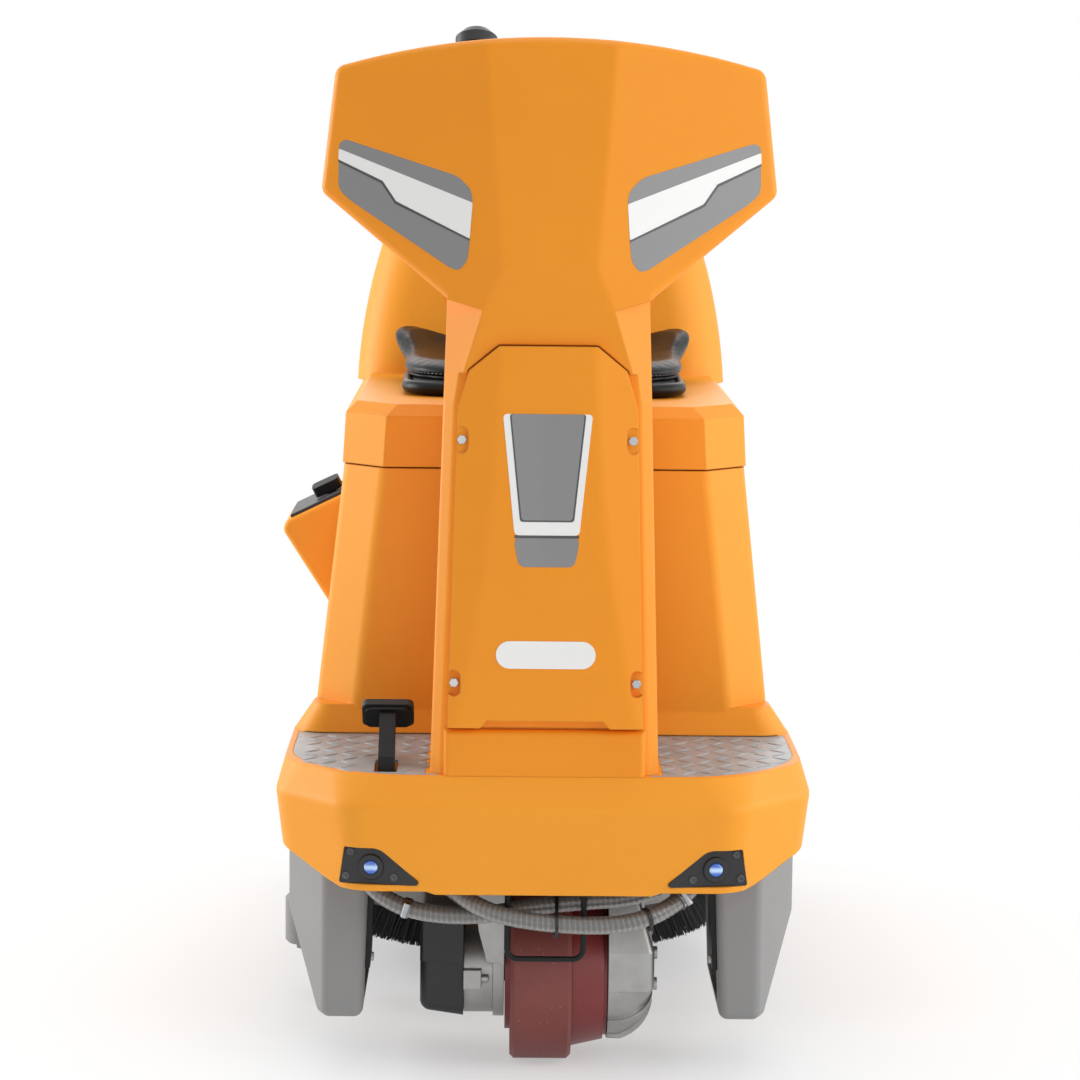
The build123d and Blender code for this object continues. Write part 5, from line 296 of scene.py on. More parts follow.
# Metals: the tread plate is dusty and dull, the castings rough, the beam brushed along its length,
# the zinc bright, and the painted and powder-coated steels show their paint
TREAD = metal("aluminium tread plate", "#bcc5cb", "#7f898f",
              rough=0.5, grain=1.2, depth=0.15, bare=0.25)
CASTING = metal("die-cast aluminium", "#b4b4b2", "#949391",
                rough=0.42, grain=1.0, depth=0.3, bare=0.8)
BEAM = metal("anodised aluminium", "#b4b4b6", "#a2a2a4",
             rough=0.32, grain=0.8, depth=0.08, stretch=(0.05, 1, 1))
STEEL = metal("zinc-plated steel", "#b9babb", "#999a9c", rough=0.28, grain=0.8, depth=0.1)
COATED = metal("black powder-coated steel", "#101113", "#18191b",
               rough=0.45, grain=1.6, depth=0.2, bare=0.0, sheen=0.25)
BLACKED = metal("blackened steel", "#56575a", "#3e3f42",
                rough=0.34, grain=0.8, depth=0.1, bare=0.7)
DECK = metal("grey painted deck", "#8d8c88", "#7b7a77", rough=0.5, grain=1.8, depth=0.2, bare=0.0)
HUB = metal("red painted cast iron", "#873433", "#74292b",
            rough=0.36, grain=2.2, depth=0.3, bare=0.0)

# Tyres, seat, hoses, lenses and films, each as its function says
TYRE = cast_tread("red-brown cast polyurethane", "#85443e", "#733733", "#c7b3ab")
REAR_TYRE = cast_tread("grey solid rubber", "#4a4a4b", "#3c3c3d", "#8a8a88")
VINYL = seat_vinyl()
HOSE = hose_pvc()
LENS = lens_with_painted_highlight()
FILM_GREY = printed_film("grey printed film", "#868687", "#808081")
FILM_WHITE = printed_film("white printed film", "#f4f4f3", "#ececeb")
FILM_DARK = printed_film("dark printed film", "#3b3b3c", "#444445")
PANEL = printed_film("black panel film", "#101012", "#18181b", rough=0.2)

FINISHES = {
    ORANGE: "console service_cover column_foot",
    BODY_ORANGE_PAINTED_LIGHTER: "main_body recovery_tank",
    GREY: "guard_left guard_right deck_roller",
    BLACK: "lamp_plate_left lamp_plate_right motor_cover tank_lid lever_gate spinner_knob "
           "steering_wheel hose_ties squeegee_knobs brush_plate seat_base batteries",
    RUBBER: "squeegee_blade_front squeegee_blade_rear pedal_pad",
    TREAD: "footplate_left footplate_right",
    CASTING: "gear_housing drive_motor drive_fork",
    BEAM: "squeegee_beam",
    STEEL: "body_bolts hose_clamps rear_axle steering_shaft steering_pinion steering_gear "
           "steering_bearing key_switch",
    COATED: "chassis_frame tow_loop accelerator_pedal pedal_bracket lift_arms upper_link "
            "brush_motor squeegee_arm squeegee_lever vacuum_motor",
    BLACKED: "lamp_screws",
    DECK: "brush_deck",
    HUB: "drive_hub",
    TYRE: "drive_tyre",
    REAR_TYRE: "rear_wheel_left rear_wheel_right",
    LENS: "lamp_lenses",
    PANEL: "control_panel",
    RED: "emergency_stop",
    VINYL: "seat_cushion",
    HOSE: "hose_supply hose_return",
    NYLON: "brush_bristles",
}


def finish_nodes():
    """Gives every CAD node its material."""
    for material, names in FINISHES.items():
        for name in names.split():
            node = NODES[name]
            if not node.material_slots:
                node.data.materials.append(material)
            for place in node.material_slots:
                place.material = material


# Surfaces worked out as arrays
def grid_faces(rows, columns, wrap=False):
    """Quads of a grid of points, closed round its columns where wrap is set."""
    index = np.arange(rows * columns).reshape(rows, columns)
    if wrap:
        index = np.c_[index, index[:, :1]]
    corners = [index[:-1, :-1], index[:-1, 1:], index[1:, 1:], index[1:, :-1]]
    return np.stack(corners, -1).reshape(-1, 4)


def end_faces(rows, columns):
    """The two polygons that close the first and the last ring of a wrapped grid."""
    ring = np.arange(columns)
    return [ring[::-1].tolist(), (ring + (rows - 1) * columns).tolist()]


def piece(name, points, faces, body, material, smooth=True):
    """A mesh object at the origin from points in mm, on a CAD body and with its material."""
    mesh = bpy.data.meshes.new(name)
    corners = np.asarray(points, float).reshape(-1, 3) * MM
    mesh.from_pydata(corners.tolist(), [], [list(f) for f in faces])
    mesh.materials.append(material)
    mesh.polygons.foreach_set("use_smooth", np.full(len(mesh.polygons), smooth))
    made = bpy.data.objects.new(name, mesh)
    bpy.context.scene.collection.objects.link(made)
    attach(made, body)
    return made


def repeated(shapes, faces):
    """Faces of one shape repeated for each copy in an array of copies x points x 3."""
    step = np.arange(len(shapes))[:, None, None] * shapes.shape[1]
    return (np.asarray(faces)[None] + step).reshape(-1, len(faces[0])).tolist()


def unit(vectors):
    """Vectors divided by their lengths."""
    return vectors / np.linalg.norm(vectors, axis=-1, keepdims=True)


def carried(path, profile, up):
    """A profile carried along a path: path + a * side + b * rise.

    Side is square to the path and up, and rise is square to both.
    """
    ahead = unit(np.gradient(path, axis=0))
    side = unit(np.cross(ahead, up))
    rise = np.cross(side, ahead)
    across = profile[..., 0, None] * side[:, None]
    return path[:, None] + across + profile[..., 1, None] * rise[:, None]


def circle(radius, sides):
    """Points on a circle, at radius times cosine and sine of even angles."""
    angle = np.linspace(0, 2 * np.pi, sides, endpoint=False)
    return np.c_[np.cos(angle), np.sin(angle)] * radius


def points_of(mesh):
    """A mesh's points as an array of points x 3, in metres."""
    spots = np.empty(len(mesh.vertices) * 3, np.float32)
    mesh.vertices.foreach_get("co", spots)
    return spots.reshape(-1, 3)


def surface_of(*names):
    """A search tree over CAD nodes, for finding where a new piece meets them."""
    corners, faces = [], []
    for name in names:
        mesh = NODES[name].data
        mesh.calc_loop_triangles()
        index = np.empty(len(mesh.loop_triangles) * 3, np.int32)
        mesh.loop_triangles.foreach_get("vertices", index)
        faces.append(index.reshape(-1, 3) + sum(len(c) for c in corners))
        corners.append(points_of(mesh))
    return BVHTree.FromPolygons(np.concatenate(corners).tolist(), np.concatenate(faces).tolist())


# Printed films on the console: name, ink, corner radius, lower and upper side above the face, and
# corners in x and z. The wing films are mirrored to the other wing.
WING_FILMS = (
    ("wing_film", FILM_GREY, 9, -0.2, 0.35,
     [(255, 1157), (247, 1161), (110, 1119), (94.5, 1103), (92.7, 1088), (95.8, 1045),
      (98.2, 1019), (108, 1007), (118, 1009), (242, 1088.5), (256, 1101.5)]),
    ("wing_stripe", FILM_WHITE, 2, 0.1, 0.6,
     [(255.5, 1150), (92.7, 1088), (95.8, 1045), (185, 1088), (201.5, 1112), (256, 1137)]),
    ("wing_line", FILM_DARK, 1, 0.1, 0.7,
     [(256, 1137), (201.5, 1112), (185, 1088), (95.8, 1045), (95.9, 1042.5), (186.5, 1085),
      (203, 1109), (256, 1134)]),
)
COVER_FILMS = (
    ("badge_frame", FILM_WHITE, 6, -0.2, 0.5, [(54, 837), (-54, 837), (-39, 692), (39, 692)]),
    ("badge_line", FILM_DARK, 4, 0.2, 0.7, [(46, 837), (-46, 837), (-32.5, 708), (32.5, 708)]),
    ("badge_field", FILM_GREY, 4, 0.4, 0.9, [(44, 837), (-44, 837), (-30.5, 710), (30.5, 710)]),
    ("badge_rule", FILM_DARK, 1, -0.2, 0.4,
     [(39, 692), (-39, 692), (-38.8, 688.5), (38.8, 688.5)]),
    ("badge_tab", FILM_GREY, 8, -0.2, 0.5,
     [(38.8, 688.5), (-38.8, 688.5), (-38, 676), (-33, 654), (33, 654), (38, 676)]),
)
PLATE_LONG, PLATE_WIDE, PLATE_AT, PLATE_SUNK, PLATE_HIGH = 120.0, 33.0, 548.5, -0.2, 1.2
CORNER_STEPS, CORNER_SHARE, PLATE_END_STEPS = 7, 0.48, 19
FILM_RAY_FROM = -2000.0


def rounded(corners, radius):
    """Each corner becomes a quadratic curve that leaves its two sides at most that far from it."""
    c = np.asarray(corners, float)
    back, on = np.roll(c, 1, 0) - c, np.roll(c, -1, 0) - c
    shorter = np.minimum(*[np.linalg.norm(v, axis=1) for v in (back, on)])
    reach = np.minimum(radius, CORNER_SHARE * shorter)[:, None]
    start, end = c + unit(back) * reach, c + unit(on) * reach
    t = np.linspace(0, 1, CORNER_STEPS)[None, :, None]
    curve = (1 - t) ** 2 * start[:, None] + 2 * t * (1 - t) * c[:, None] + t ** 2 * end[:, None]
    return curve.reshape(-1, 2)


def pill(length, width, level):
    """Outline of a plate with round ends: half circles about two centres on one level."""
    angle = np.linspace(-np.pi / 2, np.pi / 2, PLATE_END_STEPS)
    end = np.c_[np.cos(angle), np.sin(angle)] * width / 2 + ((length - width) / 2, 0)
    return np.r_[end, -end] + (0, level)


def film(name, node, outline, low, high, material):
    """A thin film on a flat face: y follows the face's plane over x and z, from low to high."""
    flat = np.asarray(outline, float)
    ahead = np.roll(flat, -1, 0)
    if np.sum(flat[:, 0] * ahead[:, 1] - ahead[:, 0] * flat[:, 1]) < 0:
        flat = flat[::-1]
    x, z = flat.T
    start = Vector((x.mean(), FILM_RAY_FROM, z.mean())) * MM
    hit, normal, _, _ = surface_of(node).ray_cast(start, Vector((0, 1, 0)))
    spot, out = np.array(hit) / MM, np.array(normal)
    y = spot[1] - ((x - spot[0]) * out[0] + (z - spot[2]) * out[2]) / out[1]
    sheet = np.c_[x, y, z]
    layers = np.r_[sheet + out * low, sheet + out * high]
    faces = end_faces(2, len(sheet)) + grid_faces(2, len(sheet), wrap=True).tolist()
    piece(name, layers, faces, "base", material, smooth=False)


def dress_console():
    """Two-tone films on the wings, and a bare badge and a bare plate on the service cover."""
    for word, side in (("left", 1), ("right", -1)):
        for name, ink, radius, low, high, corners in WING_FILMS:
            outline = rounded(corners, radius) * (side, 1)
            film(f"{name}_{word}", "console", outline, low, high, ink)
    for name, ink, radius, low, high, corners in COVER_FILMS:
        film(name, "service_cover", rounded(corners, radius), low, high, ink)
    film("name_plate", "service_cover", pill(PLATE_LONG, PLATE_WIDE, PLATE_AT),
         PLATE_SUNK, PLATE_HIGH, FILM_WHITE)


# Tread bars of the footplates
BAR_LONG, BAR_WIDE, BAR_HIGH, BAR_SUNK, BAR_PITCH = 31.0, 7.0, 1.6, 0.3, 24.0
BAR_STATIONS, BAR_SIDES, BAR_TIP = 9, 10, 0.97
BAR_LOOK_FROM, BAR_ROOM, BAR_LEVEL_SLACK = 60.0, 1.1, 0.3


def tread_bars(word):
    """Raised lentils on a square lattice, turned 45 degrees to and fro.

    Half width and height fall as 1 - u squared along a bar. A bar is kept where rays from above
    meet the plate at its middle and just past its two ends.
    """
    low, high = (np.array(v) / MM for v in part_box(f"footplate_{word}"))
    u = np.linspace(-BAR_TIP, BAR_TIP, BAR_STATIONS)
    share = 1 - u ** 2
    angle = np.linspace(0, 2 * np.pi, BAR_SIDES, endpoint=False)
    across = share[:, None] * BAR_WIDE / 2 * np.cos(angle)
    tall = np.maximum(share[:, None] * BAR_HIGH * np.sin(angle), 0) - BAR_SUNK
    along = np.repeat(u[:, None] * BAR_LONG / 2, BAR_SIDES, 1)
    steps = [np.arange(low[k], high[k], BAR_PITCH) for k in (0, 1)]
    gx, gy = np.meshgrid(*steps, indexing="ij")
    odd = np.add.outer(*[np.arange(len(s)) for s in steps]) % 2
    turn = np.where(odd, 1, -1) * np.pi / 4
    over = surface_of(f"footplate_{word}", "main_body", "console", "column_foot",
                      "accelerator_pedal")
    top, down = (high[2] + BAR_LOOK_FROM) * MM, Vector((0, 0, -1))
    kept = []
    for x, y, a in zip(gx.ravel(), gy.ravel(), turn.ravel()):
        reach = [k * BAR_LONG / 2 for k in (-BAR_ROOM, 0, BAR_ROOM)]
        starts = [((x + r * math.cos(a)) * MM, (y + r * math.sin(a)) * MM, top) for r in reach]
        hits = [over.ray_cast(Vector(s), down)[0] for s in starts]
        kept.append(all(h is not None and abs(h.z / MM - high[2]) < BAR_LEVEL_SLACK for h in hits))
    x, y, a = (v.ravel()[kept][:, None, None] for v in (gx, gy, turn))
    shapes = np.stack([x + along * np.cos(a) - across * np.sin(a),
                       y + along * np.sin(a) + across * np.cos(a),
                       np.broadcast_to(high[2] + tall, (len(x), *tall.shape))], -1)
    shapes = shapes.reshape(len(x), -1, 3)
    faces = repeated(shapes, grid_faces(*along.shape, wrap=True)[:, ::-1])
    faces += repeated(shapes, [f[::-1] for f in end_faces(*along.shape)])
    piece(f"tread_bars_{word}", shapes, faces, "base", TREAD)


# Hoses across the front: control points of their lines, as in the part's source
SUPPLY_ROUTE = [(-238, -585, 380), (-238, -585, 320), (-226, -600, 268), (-192, -617, 236),
                (-140, -622, 221), (-80, -622, 219), (-15, -622, 231), (50, -622, 239),
                (110, -622, 243), (160, -605, 262), (166, -585, 310), (166, -585, 380)]
RETURN_ROUTE = [(-150, -585, 380), (-150, -585, 325), (-142, -602, 282), (-118, -617, 256),
                (-76, -645, 234), (-28, -657, 223), (45, -657, 216), (105, -656, 219),
                (150, -640, 232), (186, -612, 255), (206, -594, 300), (210, -586, 345),
                (210, -586, 380)]
HOSE_R, SPIRAL_PITCH, SPIRAL_HIGH = 11.0, 6.5, 0.18
HOSE_SIDES, HOSE_STEP, ROUTE_STEPS = 28, 1.6, 24


def smooth_line(route):
    """Points along a quadratic NURBS line that has the route as its control points, in mm."""
    curve = bpy.data.curves.new("route", "CURVE")
    curve.dimensions = "3D"
    curve.resolution_u = ROUTE_STEPS
    spline = curve.splines.new("NURBS")
    spline.points.add(len(route) - 1)
    spline.points.foreach_set("co", np.c_[np.array(route) * MM, np.ones(len(route))].ravel())
    spline.order_u = 3
    spline.use_endpoint_u = True
    holder = bpy.data.objects.new("route", curve)
    mesh = bpy.data.meshes.new_from_object(holder)
    line = points_of(mesh) / MM
    bpy.data.objects.remove(holder)
    bpy.data.meshes.remove(mesh)
    bpy.data.curves.remove(curve)
    return line


def even_steps(line, step):
    """The same line with points a set distance apart, and how far along it each one is."""
    run = np.r_[0, np.cumsum(np.linalg.norm(np.diff(line, axis=0), axis=1))]
    at = np.linspace(0, run[-1], int(run[-1] / step) + 1)
    return np.c_[[np.interp(at, run, line[:, k]) for k in range(3)]].T, at


def spiral_hose(name, route):
    """A tube round the route that swells under its spiral: r + h * cos(2 pi (s / pitch + turn))."""
    path, run = even_steps(smooth_line(route), HOSE_STEP)
    turn = np.linspace(0, 1, HOSE_SIDES, endpoint=False)
    phase = 2 * np.pi * (run[:, None] / SPIRAL_PITCH + turn[None])
    radius = HOSE_R - SPIRAL_HIGH + SPIRAL_HIGH * np.cos(phase)
    ring = radius[..., None] * np.c_[np.cos(2 * np.pi * turn), np.sin(2 * np.pi * turn)]
    points = carried(path, ring, (0, 1, 0))
    walls = grid_faces(len(path), HOSE_SIDES, wrap=True).tolist()
    made = piece(f"{name}_tube", points, walls + end_faces(len(path), HOSE_SIDES), "base", HOSE)
    wrap_map(made.data, run / SPIRAL_PITCH, turn, len(walls))
    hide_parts(name)


def wrap_map(mesh, along, turn, walls):
    """The hose's own map: u along it, v round it, and v ends at 1 in the last column of quads."""
    layer = mesh.uv_layers.new(name="wrap")
    corner = np.empty(len(mesh.loops), np.int32)
    mesh.loops.foreach_get("vertex_index", corner)
    u, v = along[corner // len(turn)], turn[corner % len(turn)]
    number = np.arange(len(corner))
    first = number // 4 * 4
    second = np.minimum(first + 1, len(v) - 1)
    seam = (number < walls * 4) & (v == 0) & (v[first] + v[second] > turn[-2])
    layer.data.foreach_set("uv", np.c_[u, np.where(seam, 1.0, v)].astype(np.float32).ravel())


# Brush: its middle, the radii of its tufts, and its strands
BRUSH_AT, BRUSH_INNER, BRUSH_ROOT_R, BRUSH_FLARE = (-20.0, 62.0), 70.0, 256.0, 20.0
BRISTLE_ROOT_Z, BRISTLE_TIP_Z, BRISTLE_RAGGED = 104.0, 66.5, 1.6
BRISTLE_THICK, BRISTLE_TAPER, BRISTLE_SEED = 0.6, 0.7, 7
TUFTS, RIM_TUFTS, TUFT_STRANDS, TUFT_R, TUFT_SPREAD = 300, 330, 24, 4.4, 1.35
FIELD_AREA, RIM_SHARE, FLARE_POWER = 0.86, 0.968, 8


def bristle_field():
    """Tufts on a sunflower spiral, radius as the root of the count, and a close double rim row.

    The outer tufts flare with a high power of their radius, and all open a little to their tips.
    """
    k = np.arange(TUFTS)
    hole = (BRUSH_INNER / BRUSH_ROOT_R) ** 2
    rim = np.arange(RIM_TUFTS)
    spiral = np.sqrt((k + 0.5) / TUFTS * (FIELD_AREA - hole) + hole)
    rows = RIM_SHARE + (1 - RIM_SHARE) * (rim % 2)
    share = np.repeat(np.r_[spiral, rows], TUFT_STRANDS)
    golden = np.pi * (3 - np.sqrt(5))
    angle = np.repeat(np.r_[k * golden, rim * 2 * np.pi / RIM_TUFTS], TUFT_STRANDS)
    rng = np.random.default_rng(BRISTLE_SEED)
    count = len(share)
    out = np.c_[np.cos(angle), np.sin(angle)]
    spread = rng.normal(0, TUFT_R / 2, (count, 2))
    middle = np.array(BRUSH_AT) + out * (share * BRUSH_ROOT_R)[:, None]
    root = np.c_[middle + spread, np.full(count, BRISTLE_ROOT_Z)]
    flare = out * (BRUSH_FLARE * share ** FLARE_POWER)[:, None]
    ragged = BRISTLE_TIP_Z + rng.uniform(0, BRISTLE_RAGGED, count)
    tip = np.c_[middle + flare + TUFT_SPREAD * spread, ragged]
    square = np.array([(1, 1, 0), (-1, 1, 0), (-1, -1, 0), (1, -1, 0)]) * BRISTLE_THICK
    shapes = np.concatenate([root[:, None] + square, tip[:, None] + BRISTLE_TAPER * square], 1)
    faces = [(0, 1, 2, 3), (7, 6, 5, 4), (0, 4, 5, 1), (1, 5, 6, 2), (2, 6, 7, 3), (3, 7, 4, 0)]
    made = piece("bristle_field", shapes, repeated(shapes, faces), "brush", NYLON,
                 smooth=False)
    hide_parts("brush_bristles")


# Seat: its plan is a superellipse. The rim's rises are spans along y, and along x for the ears.
SEAT_Y, SEAT_LOW, SEAT_HALF_X, SEAT_HALF_Y, SEAT_POWER = -86.0, 846.3, 190.0, 178.0, 3.4
ROLL_HIGH, BACK_HIGH, EAR_OUT, EAR_FALL = 23.0, 29.0, 0.14, 0.35
BACK_SPAN, EAR_SPAN, EAR_SPAN_X, EAR_FALL_SPAN = (-170, 40), (-75, 25), (95, 180), (40, 92)
# Stations of its section, from the middle of the top round to the middle of the base: place along
# the section, share of the plan, share of the ears' lean, and the height in mm, with what the back,
# the rim's height and the ears add to it
SEAT_SECTION = np.array([
    (0.00, 0.020, 0.0, 13.0, 0.0, 0.00, 0.0),
    (0.16, 0.500, 0.0, 13.0, 0.0, 0.00, 0.0),
    (0.27, 0.720, 0.0, 15.0, 2.0, 0.00, 0.0),
    (0.38, 0.860, 0.0, -1.0, 0.0, 1.00, 2.0),
    (0.46, 0.955, 0.6, 0.0, 0.0, 1.00, 30.0),
    (0.52, 1.000, 1.0, -7.0, 0.0, 1.00, 30.0),
    (0.62, 1.000, 0.5, 0.0, 0.0, 0.45, 13.5),
    (0.72, 0.965, 0.0, 4.0, 0.0, 0.00, 0.0),
    (0.78, 0.940, 0.0, 0.0, 0.0, 0.00, 0.0),
    (0.90, 0.600, 0.0, 0.0, 0.0, 0.00, 0.0),
    (1.00, 0.020, 0.0, 0.0, 0.0, 0.00, 0.0),
])
SEAT_COLUMNS, SECTION_STEPS, SECTION_WINDOW, SECTION_EVERY = 160, 401, 37, 8
SEAT_VOXEL, SEAT_CAP, SEAT_STEPS, SEAT_PRESSURE, SEAT_STIFF = 4.5, 3.0, 14, 4.0, 30
# Its trim: rays that find the edges, the piping, the roll under the seam and the stitches
SEAM_RAYS, SEAM_RAY_FROM = 241, 500.0
PIPING_UP, PIPING_R, PIPING_SIDES = 3.2, 2.3, 8
SEAT_ROLL_R, SEAT_ROLL_Z, SEAT_ROLL_SIDES, SEAT_ROLL_OUT = 8.6, 837.2, 16, 0.96
STITCH_UP, STITCH_LONG, STITCH_R, STITCH_SIDES, STITCH_BOW = 8.0, 3.4, 0.55, 6, 0.5


def smooth_step(values, span):
    """0 before the span and 1 after it, with t * t * (3 - 2 * t) between."""
    start, end = span
    t = np.clip((values - start) / (end - start), 0, 1)
    return t * t * (3 - 2 * t)


def softened(values, knots):
    """Rows of values at the knots, joined straight and smoothed along them by a moving mean."""
    fine = np.linspace(0, 1, SECTION_STEPS)
    at = np.searchsorted(knots[1:-1], fine, side="right")
    part = ((fine - knots[at]) / (knots[at + 1] - knots[at]))[:, None]
    line = values[at] * (1 - part) + values[at + 1] * part
    kernel = np.hanning(SECTION_WINDOW)[1:-1]
    kernel /= kernel.sum()
    reach = len(kernel) // 2
    padded = np.r_[np.repeat(line[:1], reach, 0), line, np.repeat(line[-1:], reach, 0)]
    windows = np.lib.stride_tricks.sliding_window_view(padded, len(kernel), 0)
    return np.einsum("rck,k->rc", windows, kernel)[::SECTION_EVERY]


def seat_shell():
    """A closed pan over the plan, each section a polyline of plan share and height, softened.

    The rim is a low roll in front, a back behind, and an ear at each rear corner, which leans out.
    """
    angle = np.linspace(0, 2 * np.pi, SEAT_COLUMNS, endpoint=False)
    c, s = np.cos(angle), np.sin(angle)
    x = np.sign(c) * np.abs(c) ** (2 / SEAT_POWER) * SEAT_HALF_X
    y = SEAT_Y + np.sign(s) * np.abs(s) ** (2 / SEAT_POWER) * SEAT_HALF_Y
    back = smooth_step(y, BACK_SPAN)
    ear = smooth_step(y, EAR_SPAN) * smooth_step(np.abs(x), EAR_SPAN_X)
    ear *= 1 - EAR_FALL * smooth_step(y, EAR_FALL_SPAN)
    rim = ROLL_HIGH + (BACK_HIGH - ROLL_HIGH) * back
    knots, share, lean, high, on_back, on_rim, on_ear = SEAT_SECTION.T[:, :, None]
    share = softened(share + lean * EAR_OUT * ear, knots[:, 0])
    high = softened(high + on_back * back + on_rim * rim + on_ear * ear, knots[:, 0])
    return np.stack([share * x, SEAT_Y + share * (y - SEAT_Y), SEAT_LOW + high], -1)


def seat():
    """The seat's vinyl over foam, swollen by cloth under pressure, with its trim."""
    points = seat_shell()
    shape = points.shape[:2]
    faces = grid_faces(*shape, wrap=True)[:, ::-1].tolist()
    faces += [f[::-1] for f in end_faces(*shape)]
    made = piece("seat", points, faces, "tank", VINYL)
    swell(made)
    finer = made.modifiers.new("finer", "SUBSURF")
    finer.levels = finer.render_levels = 1
    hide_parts("seat_cushion")
    seat_trim(made)


def swell(made):
    """Remeshes the seat, runs cloth under pressure on it and keeps each point near its start."""
    scene = bpy.context.scene
    bpy.context.view_layer.objects.active = made
    made.data.remesh_voxel_size = SEAT_VOXEL * MM
    made.data.use_remesh_preserve_volume = True
    with bpy.context.temp_override(active_object=made, object=made):
        bpy.ops.object.voxel_remesh()
    before = points_of(made.data)
    cloth = made.modifiers.new("cloth", "CLOTH")
    cloth.settings.use_pressure = True
    cloth.settings.uniform_pressure_force = SEAT_PRESSURE
    cloth.settings.effector_weights.gravity = 0
    cloth.settings.tension_stiffness = SEAT_STIFF
    cloth.settings.compression_stiffness = SEAT_STIFF
    for step in range(1, SEAT_STEPS + 1):
        scene.frame_set(step)
    after = points_of(made.evaluated_get(bpy.context.evaluated_depsgraph_get()).data)
    made.modifiers.remove(cloth)
    scene.frame_set(1)
    move = after - before
    reach = np.linalg.norm(move, axis=1, keepdims=True)
    move *= np.minimum(1, SEAT_CAP * MM / np.maximum(reach, 1e-9))
    moved = before + move
    moved[:, 2] = np.maximum(moved[:, 2], SEAT_LOW * MM)
    made.data.vertices.foreach_set("co", moved.ravel())
    made.data.polygons.foreach_set("use_smooth", np.ones(len(made.data.polygons), bool))
    made.data.update()


def edge_round(tree, level):
    """Where level rays from all round meet a surface, in mm, and the directions they come from."""
    angle = np.linspace(0, 2 * np.pi, SEAM_RAYS)
    out = np.c_[np.cos(angle), np.sin(angle), np.zeros(SEAM_RAYS)]
    middle = Vector((0, SEAT_Y, level)) * MM
    far = SEAM_RAY_FROM * MM
    hits = [tree.ray_cast(middle + Vector(o) * far, -Vector(o))[0] for o in out]
    return np.array(hits) / MM, out


def seat_cord(name, line, radius, sides, material):
    """A round cord carried along a closed line, its last ring set on its first."""
    points = carried(line, circle(radius, sides), UP)
    points[-1] = points[0]
    faces = grid_faces(*points.shape[:2], wrap=True)
    piece(name, points, faces.tolist(), "tank", material)


def seat_trim(cushion):
    """Piping along the cushion's lower edge, a roll under it on the seat's base, and stitches."""
    surface = BVHTree.FromObject(cushion, bpy.context.evaluated_depsgraph_get())
    seam, _ = edge_round(surface, SEAT_LOW + PIPING_UP)
    seat_cord("seat_piping", seam, PIPING_R, PIPING_SIDES, RUBBER)
    edge, out = edge_round(surface_of("seat_base"), SEAT_ROLL_Z)
    roll = edge + out * SEAT_ROLL_OUT * SEAT_ROLL_R
    seat_cord("seat_roll", roll, SEAT_ROLL_R, SEAT_ROLL_SIDES, VINYL)
    stitches(edge_round(surface, SEAT_LOW + STITCH_UP)[0])


def stitches(line):
    """Short bowed threads on every second step of a line: the bow is a sine from end to end."""
    path, _ = even_steps(line, STITCH_LONG)
    start, end = path[:-1:2], path[1::2]
    count = min(len(start), len(end))
    start, end = start[:count], end[:count]
    side = unit(np.cross(unit(end - start), UP))
    ring = circle(STITCH_R, STITCH_SIDES)
    at = np.array([0.0, 0.5, 1.0])[None, :, None]
    lift = np.sin(at * np.pi) * STITCH_BOW
    spine = start[:, None] + at * (end - start)[:, None] + lift * side[:, None]
    across = ring[None, None, :, :1] * side[:, None, None]
    shapes = spine[:, :, None] + across + ring[None, None, :, 1:] * np.array(UP, float)
    rows = shapes.shape[1]
    shapes = shapes.reshape(count, -1, 3)
    faces = repeated(shapes, grid_faces(rows, STITCH_SIDES, wrap=True))
    faces += repeated(shapes, [f[::-1] for f in end_faces(rows, STITCH_SIDES)])
    piece("seat_stitches", shapes, faces, "tank", FILM_GREY)


# Stage: each lamp's name, place in mm, size in metres and watts. All look at one height.
LAMPS = (
    ("lamp_left", (-3400, 700, 1450), 2.0, 85),
    ("lamp_front", (3300, -2600, 2000), 2.8, 62),
    ("lamp_right", (3500, 300, 1500), 2.4, 40),
    ("lamp_top", (0, -200, 4300), 3.4, 50),
    ("lamp_back", (0, 3800, 2600), 2.6, 50),
    ("lamp_low", (-1200, -4900, 350), 2.6, 22),
)
LAMPS_AIM = (0, 0, 650)
SURROUND_LIGHT, SURROUND_SEEN = 0.41, 1.0
FLOOR_HALF, FLOOR_Z, FLOOR_NEAR, FLOOR_FAR, FLOOR_WHITE = 30000.0, -0.5, 500.0, 900.0, 0.42


def seen_share(tree):
    """1 for the rays that show the background: from the camera, off a gloss or through glass."""
    ray = add(tree, "LightPath")
    seen = add(tree, "Math", links={0: (ray, "Is Camera Ray"), 1: (ray, "Is Glossy Ray")},
               operation="MAXIMUM")
    return add(tree, "Math", links={0: (seen, "Value"), 1: (ray, "Is Transmission Ray")},
               operation="MAXIMUM")


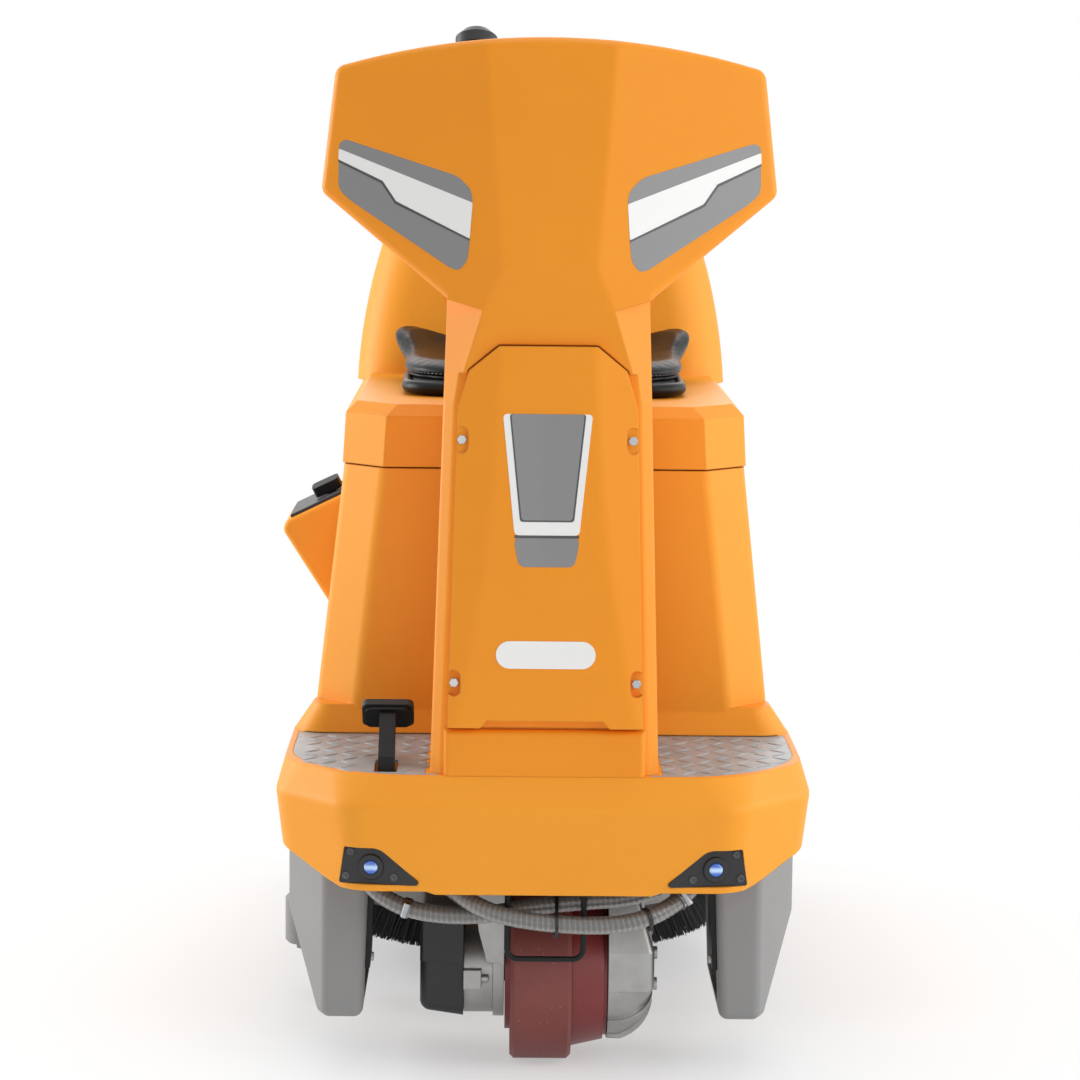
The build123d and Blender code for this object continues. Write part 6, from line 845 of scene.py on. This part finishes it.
def make_surround():
    """A surround that is white where it is seen and gives a plain even light elsewhere."""
    world = bpy.data.worlds.new("surround")
    world.use_nodes = True
    bpy.context.scene.world = world
    tree = world.node_tree
    tree.nodes.clear()
    power = add(tree, "MapRange", {"To Min": SURROUND_LIGHT, "To Max": SURROUND_SEEN},
                {"Value": (seen_share(tree), "Value")})
    light = add(tree, "Background", {"Color": (1, 1, 1, 1)}, {"Strength": (power, "Result")})
    add(tree, "OutputWorld", links={"Surface": (light, "Background")})


def make_floor():
    """A pale matt floor that keeps the machine's shadow and fades to white away from it."""
    material, tree, shader, place = blank("pale studio floor", Base_Color=linear("#fafafa"),
                                          Roughness=0.9, Specular_IOR_Level=0.0)
    white = add(tree, "Emission", {"Color": (1, 1, 1, 1), "Strength": 1.0})
    far = add(tree, "VectorMath", links={0: (place, "Object")}, operation="LENGTH")
    fade = add(tree, "MapRange", {"From Min": FLOOR_NEAR * MM, "From Max": FLOOR_FAR * MM,
                                  "To Min": FLOOR_WHITE, "To Max": 1.0},
               {"Value": (far, "Value")})
    share = add(tree, "Math", links={0: (seen_share(tree), "Value"), 1: (fade, "Result")},
                operation="MULTIPLY")
    mix = add(tree, "MixShader",
              links={0: (share, "Value"), 1: (shader, "BSDF"), 2: (white, "Emission")})
    join(tree, tree.nodes["Material Output"], {"Surface": (mix, "Shader")})
    corners = np.array([(-1, -1), (1, -1), (1, 1), (-1, 1)]) * FLOOR_HALF
    mesh = bpy.data.meshes.new("floor")
    mesh.from_pydata((np.c_[corners, np.full(4, FLOOR_Z)] * MM).tolist(), [], [(0, 1, 2, 3)])
    mesh.materials.append(material)
    floor = bpy.data.objects.new("floor", mesh)
    bpy.context.scene.collection.objects.link(floor)


def hang_lamps():
    """Large soft lamps round the machine, turned to its middle."""
    for name, spot, size, watts in LAMPS:
        data = bpy.data.lights.new(name, "AREA")
        data.energy = watts
        data.size = size
        lamp = bpy.data.objects.new(name, data)
        lamp.location = Vector(spot) * MM
        ahead = Vector(LAMPS_AIM) * MM - lamp.location
        lamp.rotation_euler = ahead.to_track_quat("-Z", "Y").to_euler()
        bpy.context.scene.collection.objects.link(lamp)


bpy.context.scene.view_settings.view_transform = "Standard"
aim_camera()
finish_nodes()
dress_console()
tread_bars("left")
tread_bars("right")
spiral_hose("hose_supply", SUPPLY_ROUTE)
spiral_hose("hose_return", RETURN_ROUTE)
bristle_field()
seat()
make_surround()
make_floor()
hang_lamps()
